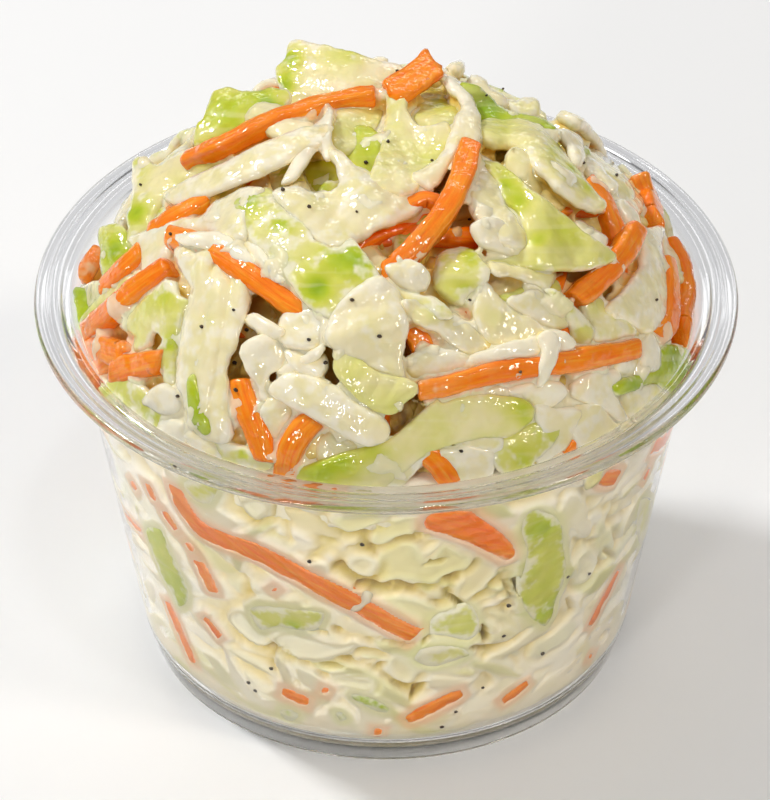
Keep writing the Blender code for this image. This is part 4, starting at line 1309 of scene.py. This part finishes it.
def dressing_mesh():
    offset, all_v, all_f = 0, [], []
    for v, f in [core_dome(3.0)] + heap_parts:
        all_v.append(v)
        all_f.append(f + offset)
        offset += len(v)
    v, f = np.vstack(all_v), np.vstack(all_f)
    voxel, r = 0.27, 0.58
    wide = level_set(v, f, voxel, r / voxel + 2.5)
    p, t = polygons(wide, r)
    shrunk = level_set(p, t, voxel, (r + 0.2) / voxel + 2.5)
    p, t = polygons(shrunk, -(r + 0.36))
    return p, t if volume(p, t) > 0 else t[:, ::-1]


heap_v, heap_f = dressing_mesh()


def decimated(verts, faces, most):
    """The same surface with at most this many triangles."""
    if len(faces) <= most:
        return verts, faces
    obj = mesh_object("to_thin", verts, faces)
    modifier = obj.modifiers.new("thin", "DECIMATE")
    modifier.ratio = most / len(faces)
    graph = bpy.context.evaluated_depsgraph_get()
    mesh = obj.evaluated_get(graph).to_mesh()
    mesh.calc_loop_triangles()
    v = np.empty(len(mesh.vertices) * 3, np.float32)
    mesh.vertices.foreach_get("co", v)
    f = np.empty(len(mesh.loop_triangles) * 3, np.int32)
    mesh.loop_triangles.foreach_get("vertices", f)
    bpy.data.objects.remove(obj, do_unlink=True)
    return v.reshape(-1, 3).astype(float) / MM, f.reshape(-1, 3)


def point_normals(verts, faces):
    n = np.zeros_like(verts)
    fn = np.cross(verts[faces[:, 1]] - verts[faces[:, 0]], verts[faces[:, 2]] - verts[faces[:, 0]])
    for k in range(3):
        np.add.at(n, faces[:, k], fn)
    return n / np.maximum(np.linalg.norm(n, axis=1), 1e-12)[:, None]


heap_v, heap_f = decimated(heap_v, heap_f, 196000)

def film_patches(verts, faces):
    """Lets the dressing swell over the shreds in smooth patches."""
    n = point_normals(verts, faces)
    swell = np.array([noise.noise(Vector(p * 0.26)) + 0.5 * noise.noise(Vector(p * 0.75 + 9)) for p in verts])
    fine = np.array([noise.noise(Vector(p * 1.5 + 3)) for p in verts])
    moved = verts + n * (np.clip(swell - 0.20, 0, 0.5) * 1.2 + fine * 0.05)[:, None]
    moved[:, 2] = np.minimum(moved[:, 2], TOP_LIMIT)
    r = np.hypot(moved[:, 0], moved[:, 1])
    limit = inner_r(np.clip(moved[:, 2], 0, FLANGE_TOP)) - 0.04 + np.clip(moved[:, 2] - FLANGE_TOP, 0, 3) * 0.25
    scale = np.minimum(1, limit / np.maximum(r, 1e-6))
    moved[:, 0] *= scale
    moved[:, 1] *= scale
    return moved


def near_tints(verts):
    """The colour that the nearest shred lends to the dressing, and how much of it."""
    tint, amount = np.zeros((len(verts), 3)), np.zeros(len(verts))
    best = np.full(len(verts), 1e9)
    for (v, f), colour, reach_mm, most in ((heap_parts[2], (255, 186, 138), 0.9, 0.62), (heap_parts[1], (222, 228, 160), 0.8, 0.45),
                                           (heap_parts[0], (236, 233, 198), 0.8, 0.35)):
        tree = BVHTree.FromPolygons([tuple(p) for p in v], [tuple(int(i) for i in t) for t in f], all_triangles=True)
        linear = np.array(srgb(*colour)[:3])
        for i, p in enumerate(verts):
            hit = tree.find_nearest(Vector(p), reach_mm)
            if hit[0] is None or hit[3] > best[i]:
                continue
            best[i] = hit[3]
            tint[i] = linear
            amount[i] = most * (1 - hit[3] / reach_mm)
    return tint, amount


heap_v = film_patches(heap_v, heap_f)
tint, tint_amount = near_tints(heap_v)


def tree_of(parts):
    v, f, offset = [], [], 0
    for points, faces in parts:
        v.append(points)
        f.append(faces + offset)
        offset += len(points)
    v, f = np.vstack(v), np.vstack(f)
    return BVHTree.FromPolygons([tuple(p) for p in v], [tuple(int(i) for i in t) for t in f], all_triangles=True)


heap_tree = tree_of([(heap_v, heap_f)] + heap_parts)


def crevice_shade(verts, faces):
    """How enclosed each point is: the share of ways out that something close by blocks, with its depth under the heap's
    outline added, as painted shade for the colour ramps of the crevices.
    """
    n = point_normals(verts, faces)
    out = verts - CENTRE
    out /= np.linalg.norm(out, axis=1)[:, None]
    start = verts + n * 0.12 + out * 0.45
    a = np.cross(out, [0.31, 0.95, 0.05])
    a /= np.linalg.norm(a, axis=1)[:, None]
    b = np.cross(out, a)
    ways = [out] + [out + 1.1 * (math.cos(k) * a + math.sin(k) * b) for k in np.arange(5) * 2 * math.pi / 5]
    ways = [w / np.linalg.norm(w, axis=1)[:, None] for w in ways]
    blocked = np.zeros(len(verts))
    live = np.flatnonzero((verts[:, 2] > 36) & ((n * out).sum(1) > -0.5))
    ray = heap_tree.ray_cast
    for w in ways:
        for i in live:
            hit = ray(start[i], w[i], 4.5)
            if hit[3] is not None:
                blocked[i] += 1 - 0.12 * hit[3]
    blocked = blocked / len(ways)
    # points facing inward, under the shreds, are painted as mostly shaded
    blocked[(verts[:, 2] > 36) & ((n * out).sum(1) <= -0.5)] = 0.8
    for _ in range(3):
        total, count = blocked.copy(), np.ones(len(verts))
        for p, q in ((0, 1), (1, 2), (2, 0)):
            np.add.at(total, faces[:, p], blocked[faces[:, q]])
            np.add.at(count, faces[:, p], 1)
        blocked = total / count
    # painted shade amount: 0 in the open, up to 1 deep in crevices
    return np.clip(0.40 * sink(verts) + 1.55 * (blocked - 0.30), 0, 1)


# the dressing's deep attribute holds painted shade for the crevices
dressing = mesh_object("dressing", heap_v, heap_f, (("tint", tint), ("tint_amount", tint_amount),
                                                    ("deep", crevice_shade(heap_v, heap_f))))
dressing.data.materials.append(dressing_material("dressing_looks", CREVICE_SHADE, ((243, 230, 192), (247, 237, 207), (243, 231, 190)), 0.36, 1.0))

# ---------------------------------------------------------------- the slaw packed against the wall
COLUMNS, ROWS = 600, 112
SIDE_LOW = 3.75


def ghosts():
    """Shreds that show faintly through the film of dressing on the wall."""
    rng = random.Random(12)
    made = []
    for i in range(400):
        u = rng.uniform(-math.pi, math.pi) * UNROLL
        v = rng.uniform(4, 39.5)
        o = shred_outline(rng, rng.uniform(5, 14), rng.uniform(1.8, 4.4))[:, :2]
        turn = rng.gauss(0, 0.55)
        c, s = math.cos(turn), math.sin(turn)
        loop = spline(np.stack([u + o[:, 0] * c - o[:, 1] * s, v + o[:, 0] * s + o[:, 1] * c], 1), 0.7, True)
        colour = rng.choice([(232, 220, 166), (218, 214, 140), (236, 226, 182), (246, 238, 216), (250, 245, 232), (200, 202, 108)])
        level = rng.choice([0.0, 0.0, 0.06, 0.15, 0.3, 0.5, 0.8, 1.1])
        made.append((loop, colour, rng.uniform(0.3, 0.85), level, rng.uniform(0.0, 0.45)))
    return made


def side_surface():
    cols = np.arange(COLUMNS) * 2 * math.pi / COLUMNS - math.pi
    high = np.clip(edge_height(cols - math.pi / 2) + 0.8, 40.0, 42.35)
    U = np.tile(cols * UNROLL, (ROWS, 1))
    V = SIDE_LOW + (high - SIDE_LOW)[None] * np.linspace(0, 1, ROWS)[:, None]
    pts = np.stack([U.ravel(), V.ravel()], 1)
    broad = np.array([noise.noise(Vector((math.cos(u / UNROLL) * 3, math.sin(u / UNROLL) * 3, v * 0.11))) for u, v in pts])
    mid = np.array([noise.noise(Vector((math.cos(u / UNROLL) * 11, math.sin(u / UNROLL) * 11, v * 0.42))) for u, v in pts])
    depth = np.clip(0.85 + 1.5 * mid + 0.7 * broad, 0.1, 2.1)
    tint = np.tile(np.array(srgb(240, 236, 214)[:3]), (len(pts), 1))
    amount = np.zeros(len(pts))
    around = 2 * math.pi * UNROLL

    def near(low, high, margin):
        """Grid points in a box, with their place beside it when it crosses the seam."""
        for shift in (-around, 0, around):
            m = ((pts[:, 0] + shift > low[0] - margin) & (pts[:, 0] + shift < high[0] + margin)
                 & (pts[:, 1] > low[1] - margin) & (pts[:, 1] < high[1] + margin))
            if m.any():
                yield np.flatnonzero(m), pts[m] + np.array([shift, 0])

    for loop, colour, strength, level, groove in ghosts():
        for index, local in near(loop.min(0), loop.max(0), 0.9):
            d, inside = outline_distance(local, loop)
            signed = np.where(inside, d, -d)
            a = np.clip((signed + 0.2) / 0.9, 0, 1)
            a = a * a * (3 - 2 * a)
            linear = np.array(srgb(*colour)[:3])
            k = (a * strength)[:, None]
            tint[index] = tint[index] * (1 - k) + linear * k
            amount[index] = np.maximum(amount[index] * (1 - a), a * strength)
            depth[index] = depth[index] * (1 - a) + level * a + groove * np.exp(-((signed + 0.1) / 0.38) ** 2)
    depth = np.clip(depth, 0, 2.1)
    depth *= 0.8 * np.clip((pts[:, 1] - 5.0) / 8.0, 0.10, 1) * np.clip(1.25 - np.abs(pts[:, 0]) / 36, 0.45, 1)
    for loop, colour, level in PALE:
        middle = loop.mean(0)
        for index, local in near(loop.min(0), loop.max(0), 1.8):
            d, inside = outline_distance(local, loop)
            signed = np.where(inside, d, -d) + 0.15 * wobble(local, 1.3, 17)
            a = np.clip((signed + 0.3) / 0.8, 0, 1)
            a = a * a * (3 - 2 * a)
            k = (a * 0.75)[:, None]
            tint[index] = tint[index] * (1 - k) + np.array(srgb(*colour)[:3]) * k
            amount[index] = np.maximum(amount[index] * (1 - a), a * 0.75)
            lip = np.exp(-((signed - 0.4) / 0.45) ** 2)
            beneath = np.clip(0.6 - 0.35 * (local[:, 1] - middle[1]), 0.25, 1.1)
            groove = np.exp(-((signed + 0.5) / 0.5) ** 2) * beneath
            depth[index] = depth[index] * (1 - a) + (level + 0.26 * (1 - lip)) * a + 0.55 * groove
    for loop, level, step_down, halo_colour in WALL:
        for index, local in near(loop.min(0), loop.max(0), 2.2):
            d, inside = outline_distance(local, loop)
            under = np.clip((d - 0.42) / 0.55, 0, 1)
            under = under * under * (3 - 2 * under)
            beside = np.exp(-(d / 0.75) ** 2)
            rim = level + step_down
            hollow = np.where(inside, rim + 0.8 * under, rim * beside + depth[index] * (1 - beside))
            depth[index] = hollow
            halo = np.where(inside, 0.62, 0.62 * np.exp(-(d / 0.6) ** 2))
            tint[index] = tint[index] * (1 - halo[:, None]) + np.array(srgb(*halo_colour)[:3]) * halo[:, None]
            amount[index] = np.maximum(amount[index], halo)
    for centre, half, wide, turn, deep in POCKETS:
        c, s = math.cos(turn), math.sin(turn)
        span = half + wide
        for index, local in near(centre - span, centre + span, 1.0):
            d = local - centre
            x, y = d[:, 0] * c + d[:, 1] * s, -d[:, 0] * s + d[:, 1] * c
            q = np.sqrt((x / (half + 0.4)) ** 2 + (y / wide) ** 2) + 0.22 * wobble(local, 0.9, 3)
            k = np.clip((1.15 - q) / 0.45, 0, 1)
            k = k * k * (3 - 2 * k)
            depth[index] = np.maximum(depth[index], 0.9 * deep * k)
    # near its top the slaw touches the wall all the way round
    touch = np.clip((np.tile(np.minimum(high - 0.8, 38.7), ROWS) - pts[:, 1]) / 1.3, 0, 1)
    depth *= touch * touch * (3 - 2 * touch)
    flare = np.interp(pts[:, 1], (41.4, 41.7, 42.15, 42.52), (0.0, 0.049, 0.172, 0.428))
    r = inner_r(pts[:, 1]) + flare + 0.12 - depth
    low_corner = np.clip((SIDE_LOW + 1.0 - pts[:, 1]) / 1.0, 0, 1)
    r = r - 0.35 * low_corner ** 2
    a = pts[:, 0] / UNROLL
    verts = np.stack([r * np.sin(a), -r * np.cos(a), pts[:, 1]], 1)
    # painted shade for the hollows on the wall side: the further the surface lies from the wall, the darker and more
    # olive its colour
    pit_shade = np.clip((depth - 0.25) / 1.7, 0, 1)
    faces = []
    row_index = np.arange(ROWS * COLUMNS).reshape(ROWS, COLUMNS)
    p, q = row_index[:-1], row_index[1:]
    pj, qj = np.roll(p, -1, 1), np.roll(q, -1, 1)
    faces.append(np.stack([p.ravel(), pj.ravel(), qj.ravel(), q.ravel()], 1))
    quads = np.vstack(faces)
    # the underside follows the cup's floor; the top is closed inside the heap
    extra_v, tris = [], []

    def close(ring, radii_heights, flip):
        previous = ring
        base = len(verts)
        for share, z in radii_heights:
            start = base + sum(len(x) for x in extra_v)
            rr = np.hypot(verts[ring, 0], verts[ring, 1]).mean() * share
            extra_v.append(np.stack([rr * np.sin(cols), -rr * np.cos(cols), np.full(COLUMNS, z) + (0 if flip else high)], 1))
            current = start + np.arange(COLUMNS)
            pj2, cj = np.roll(previous, -1), np.roll(current, -1)
            quad = np.stack([previous, pj2, cj, current], 1)
            side_quads.append(quad[:, ::-1] if flip else quad)
            previous = current
        tip = base + sum(len(x) for x in extra_v)
        extra_v.append(np.array([[0.0, 0.0, radii_heights[-1][1] + (0 if flip else high.mean())]]))
        tri = np.stack([previous, np.roll(previous, -1), np.full(COLUMNS, tip)], 1)
        tris.append(tri[:, ::-1] if flip else tri)

    side_quads = [quads]
    close(row_index[0], [(0.985, FLOOR_TOP + 0.25), (0.95, FLOOR_TOP - 0.08), (0.5, FLOOR_TOP - 0.08)], True)
    close(row_index[-1], [(0.93, 0.1), (0.5, 0.1)], False)
    verts = np.vstack([verts] + extra_v)
    grow = len(verts) - len(pit_shade)
    quads = np.vstack(side_quads)
    faces = np.vstack([quads[:, [0, 1, 2]], quads[:, [0, 2, 3]]] + tris)
    if volume(verts, faces) < 0:
        faces = faces[:, ::-1]
    return (verts, faces, np.vstack([tint, np.tile(tint[:1], (grow, 1))]), np.r_[amount, np.zeros(grow)], np.r_[pit_shade, np.zeros(grow)])


side_v, side_f, side_tint, side_amount, side_pit_shade = side_surface()
# the packed side's deep attribute holds painted shade for its hollows
side = mesh_object("packed_side", side_v, side_f, (("tint", side_tint), ("tint_amount", side_amount), ("deep", side_pit_shade)))
side.data.materials.append(dressing_material("packed_looks", SIDE_CREVICE_SHADE, ((248, 236, 210), (251, 242, 222), (247, 237, 204)), 0.12, 0.3))

cabbage_obj = kind_object("cabbage_pale", cabbage, leaf_material("cabbage_looks"))
greens_obj = kind_object("cabbage_green", greens, leaf_material("green_looks"))
carrot_obj = kind_object("carrot_julienne", carrot, carrot_material())

# ---------------------------------------------------------------- pepper
SPECKS = ("141,185 171,234 309,207 357,212 366,163 388,142 432,161 469,219 234,310 202,327 309,340 379,336 325,363 235,363 "
          "236,390 178,396 461,451 656,300 283,190 246,330 470,300 520,372 352,300")
WALL_SPECKS = ("362,545 309,562 248,683 442,727 456,712 543,654 568,577 590,574 504,636 483,688 271,669 509,606 255,691")


def grain_of_pepper(centre, normal, size, rng):
    """A small crushed grain: a rounded lump with uneven corners."""
    rings, segments = 5, 9
    side = np.cross(normal, [0.3, 0.2, 1.0])
    side /= np.linalg.norm(side)
    other = np.cross(normal, side)
    verts = [centre + normal * size * 0.5]
    for i in range(1, rings):
        phi = math.pi * i / rings
        for k in range(segments):
            a = 2 * math.pi * k / segments
            r = size * 0.5 * rng.uniform(0.8, 1.15)
            verts.append(centre + r * (math.sin(phi) * (math.cos(a) * side + 0.8 * math.sin(a) * other) + math.cos(phi) * normal))
    verts.append(centre - normal * size * 0.5)
    faces = [(0, 1 + k, 1 + (k + 1) % segments) for k in range(segments)]
    for i in range(rings - 2):
        for k in range(segments):
            j = (k + 1) % segments
            p, q = 1 + i * segments, 1 + (i + 1) * segments
            faces += [(p + k, q + k, q + j), (p + k, q + j, p + j)]
    last = len(verts) - 1
    p = 1 + (rings - 2) * segments
    faces += [(last, p + (k + 1) % segments, p + k) for k in range(segments)]
    verts, faces = np.array(verts), np.array(faces)
    if volume(verts - centre, faces) < 0:
        faces = faces[:, ::-1]
    return verts, faces


def pepper():
    rng = random.Random(8)
    v, f, offset = [], [], 0
    for part in [(heap_v, heap_f)] + [s.arrays() for s in (cabbage, greens, carrot)]:
        v.append(part[0])
        f.append(part[1] + offset)
        offset += len(part[0])
    v, f = np.vstack(v), np.vstack(f)
    tree = BVHTree.FromPolygons([tuple(p) for p in v], [tuple(int(i) for i in t) for t in f], all_triangles=True)
    out_v, out_f, count = [], [], 0

    def put(point, normal, size):
        nonlocal count
        gv, gf = grain_of_pepper(np.array(point), np.array(normal), size, rng)
        out_v.append(gv)
        out_f.append(gf + count)
        count += len(gv)

    spots = read(SPECKS)
    for d in rays(spots[:, 0], spots[:, 1]):
        hit = tree.ray_cast(Vector(EYE), Vector(d / np.linalg.norm(d)))
        if hit[0] is not None:
            put(Vector(hit[0]) + Vector(hit[1]) * 0.08, hit[1], rng.uniform(0.34, 0.54))
    for _ in range(34):
        azimuth, tilt = rng.uniform(0.1, math.pi - 0.1), math.acos(rng.uniform(0.15, 0.95))
        d = Vector((math.sin(tilt) * math.cos(azimuth), math.sin(tilt) * math.sin(azimuth), math.cos(tilt)))
        hit = tree.ray_cast(Vector(CENTRE) + d * 60, -d)
        if hit[0] is not None and hit[0][2] > 42:
            put(Vector(hit[0]) + Vector(hit[1]) * 0.08, hit[1], rng.uniform(0.3, 0.5))
    spots = read(WALL_SPECKS)
    u, v2 = wall_uv(spots[:, 0], spots[:, 1])
    for _ in range(26):
        u = np.r_[u, rng.uniform(1.25, 2 * math.pi - 1.25) * UNROLL]
        v2 = np.r_[v2, rng.uniform(5, 38)]
    for p in on_wall(u, v2, 0.0):
        n = np.array([p[0], p[1], 0]) / math.hypot(p[0], p[1])
        put(p - n * 0.06, n, rng.uniform(0.38, 0.60))
    return np.vstack(out_v), np.vstack(out_f)


pepper_v, pepper_f = pepper()
pepper_obj = mesh_object("pepper", pepper_v, pepper_f)
pepper_obj.data.materials.append(pepper_material())


# ---------------------------------------------------------------- the clear cup
def arc(cr, cz, radius, start, end, steps):
    return [(cr + radius * math.cos(math.radians(start + (end - start) * i / steps)),
             cz + radius * math.sin(math.radians(start + (end - start) * i / steps))) for i in range(steps + 1)]


def cup_profile():
    """(r, z) from the axis along the inside, over the rim and down the outside."""
    corner, cz = 1.1, FLOOR_TOP + 1.1
    points = [(0.0, FLOOR_TOP), (8.0, FLOOR_TOP), (16.0, FLOOR_TOP), (22.0, FLOOR_TOP)]
    points += arc(inner_r(cz) - corner, cz, corner, -90, -8, 8)
    top = FLANGE_TOP - 1.6
    points += [(inner_r(z), z) for z in np.linspace(cz + 0.6, top, 22)]
    points += [(inner_r(top) + 0.10, top + 0.3), (inner_r(top) + 0.30, top + 0.75), (inner_r(top) + 0.62, top + 1.12),
               (33.05, FLANGE_TOP - 0.22), (33.3, FLANGE_TOP - 0.08), (33.55, FLANGE_TOP - 0.01), (33.8, FLANGE_TOP)]
    points += [(33.98, FLANGE_TOP - 0.01), (34.12, FLANGE_TOP - 0.08), (34.28, FLANGE_TOP - 0.17), (34.5, FLANGE_TOP - 0.2),
               (34.85, FLANGE_TOP - 0.2), (35.05, FLANGE_TOP - 0.16), (35.2, FLANGE_TOP - 0.06), (35.34, FLANGE_TOP),
               (35.5, FLANGE_TOP - 0.02), (35.62, FLANGE_TOP - 0.09), (35.78, FLANGE_TOP - 0.12), (35.95, FLANGE_TOP - 0.09),
               (36.1, FLANGE_TOP - 0.02)]
    points += arc(37.0 - 0.55, FLANGE_TOP - 0.55, 0.55, 86, 0, 8)
    points += arc(37.0 - 0.4, FLANGE_TOP - 0.6, 0.4, 0, -90, 6)[1:]
    under = FLANGE_TOP - 1.0
    points += [(35.9, under + 0.02), (35.4, under + 0.05), (wall_r(under) + 1.4, under), (wall_r(under) + 0.9, under - 0.02),
               (wall_r(under) + 0.5, under - 0.10), (wall_r(under) + 0.2, under - 0.32), (wall_r(under - 0.7) + 0.04, under - 0.7)]
    points += [(wall_r(z), z) for z in np.linspace(under - 1.2, 4.1, 24)]
    low = 3.9
    points += [(wall_r(low) - 0.10, 3.3), (wall_r(low) - 0.22, 2.85), (wall_r(low) - 0.36, 2.5), (25.92, 2.2), (25.88, 2.05),
               (25.70, 1.2), (25.5, 0.45), (25.45, 0.25), (25.38, 0.08), (25.25, 0.0), (24.9, 0.0), (24.5, 0.0), (24.38, 0.06),
               (24.3, 0.25), (24.36, 1.0), (24.35, FLOOR_TOP - 0.95), (24.2, FLOOR_TOP - 0.72), (24.0, FLOOR_TOP - 0.6),
               (18.0, FLOOR_TOP - 0.6), (12.0, FLOOR_TOP - 0.6), (0.0, FLOOR_TOP - 0.6)]
    return points


def turned_cup():
    segments = 288
    profile = cup_profile()
    verts, rings, faces = [], [], []
    for r, z in profile:
        if r < 1e-9:
            rings.append([len(verts)])
            verts.append((0.0, 0.0, z))
            continue
        rings.append(list(range(len(verts), len(verts) + segments)))
        for k in range(segments):
            a = 2 * math.pi * k / segments
            verts.append((r * math.cos(a), r * math.sin(a), z))
    for a, b in zip(rings, rings[1:]):
        for k in range(segments):
            j = (k + 1) % segments
            if len(a) == 1:
                faces.append((a[0], b[k], b[j]))
            elif len(b) == 1:
                faces.append((a[k], b[0], a[j]))
            else:
                faces += [(a[k], b[k], b[j]), (a[k], b[j], a[j])]
    verts, faces = np.array(verts), np.array(faces)
    if volume(verts, faces) < 0:
        faces = faces[:, ::-1]
    return verts, faces


cup_v, cup_f = turned_cup()
cup_r = np.hypot(cup_v[:, 0], cup_v[:, 1])
# rim is 1 on the flange and 0.5 at the foot; it drives the painted grey-blue shade of the plastic there and its
# stronger reflections
rim = np.clip((cup_r - 32.7) / 0.9, 0, 1) * np.clip((cup_v[:, 2] - 41.2) / 0.5, 0, 1) + 0.5 * np.clip((3.0 - cup_v[:, 2]) / 0.8, 0, 1)
cup = mesh_object("cup_clear", cup_v, cup_f, (("rim", np.clip(rim, 0, 1)),))
cup.data.materials.append(clear_material())

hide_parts("cup")
for piece in (dressing, side, cabbage_obj, greens_obj, carrot_obj, pepper_obj, cup):
    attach(piece, "root")
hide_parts("coleslaw")

# ---------------------------------------------------------------- floor, light, camera
floor_mesh = bpy.data.meshes.new("floor")
floor_mesh.from_pydata([(-3, -3, 0), (3, -3, 0), (3, 3, 0), (-3, 3, 0)], [], [(0, 1, 2, 3)])
floor = bpy.data.objects.new("floor", floor_mesh)
bpy.context.scene.collection.objects.link(floor)
floor.location.z = -0.00005
t = Tree("floor_looks")
t.link(t.mix(t.span(t.noise(t.position(), 3.0, 2.0), 0.3, 0.7, 0.0, 0.3), srgb(244, 246, 249), srgb(241, 243, 246)), t.shader.inputs["Base Color"])
t.set(Roughness=0.6)
floor_mesh.materials.append(t.material)


def lamp(name, place, target, size, power, colour=(1, 1, 1), size_y=None):
    data = bpy.data.lights.new(name, "AREA")
    data.shape = "RECTANGLE"
    data.size = size
    data.size_y = size_y or size
    data.energy = power
    data.color = colour
    obj = bpy.data.objects.new(name, data)
    obj.location = place
    obj.rotation_euler = (Vector(target) - Vector(place)).to_track_quat("-Z", "Y").to_euler()
    bpy.context.scene.collection.objects.link(obj)
    return obj


lamp("key", (-0.55, 0.30, 0.75), (0, 0, 0.04), 0.13, 5.0, (1.0, 0.985, 0.955))
lamp("fill", (0.72, -0.40, 0.80), (0, 0, 0.03), 0.18, 2.7, (1.0, 0.90, 0.77))
lamp("front", (-0.45, -0.9, 0.40), (0, 0, 0.03), 0.15, 2.1, (1.0, 0.96, 0.91))
lamp("top", (0.15, -0.35, 1.0), (0, 0, 0.04), 0.08, 0.9, (1.0, 0.98, 0.95))
lamp("back", (0.05, 1.25, 0.88), (0, 0, 0.04), 1.4, 2.2, (1.0, 0.99, 0.98), 0.12)

world = bpy.data.worlds.new("studio")
bpy.context.scene.world = world
world.use_nodes = True
background = world.node_tree.nodes["Background"]
direction = world.node_tree.nodes.new("ShaderNodeTexCoord")
parts = world.node_tree.nodes.new("ShaderNodeSeparateXYZ")
bands = world.node_tree.nodes.new("ShaderNodeValToRGB")
world.node_tree.links.new(direction.outputs["Generated"], parts.inputs[0])
world.node_tree.links.new(parts.outputs[2], bands.inputs[0])
world.node_tree.links.new(bands.outputs[0], background.inputs[0])
while len(bands.color_ramp.elements) < 6:
    bands.color_ramp.elements.new(0.5)
for element, (at, level) in zip(bands.color_ramp.elements, ((0.0, 0.6), (0.08, 0.4), (0.30, 0.36), (0.42, 0.65), (0.62, 1.0), (1.0, 1.0))):
    element.position = at
    element.color = (level, level * 0.99, level * 0.985, 1.0)
background.inputs[1].default_value = 0.34

camera_data = bpy.data.cameras.new("camera")
camera_data.sensor_width = 36.0
camera_data.lens = FOCAL * 36.0 / 800.0
camera_data.clip_start = 0.05
camera_data.clip_end = 20.0
camera = bpy.data.objects.new("camera", camera_data)
offset = (385.0 - CX) / FOCAL * DIST
camera.location = Vector(EYE * MM) + Vector((offset * MM, 0, 0))
camera.rotation_euler = (math.pi / 2 - EL, 0, 0)
bpy.context.scene.collection.objects.link(camera)
bpy.context.scene.camera = camera

view_settings = bpy.context.scene.view_settings
view_settings.view_transform = "Standard"
view_settings.look = "None"

bpy.context.view_layer.update()
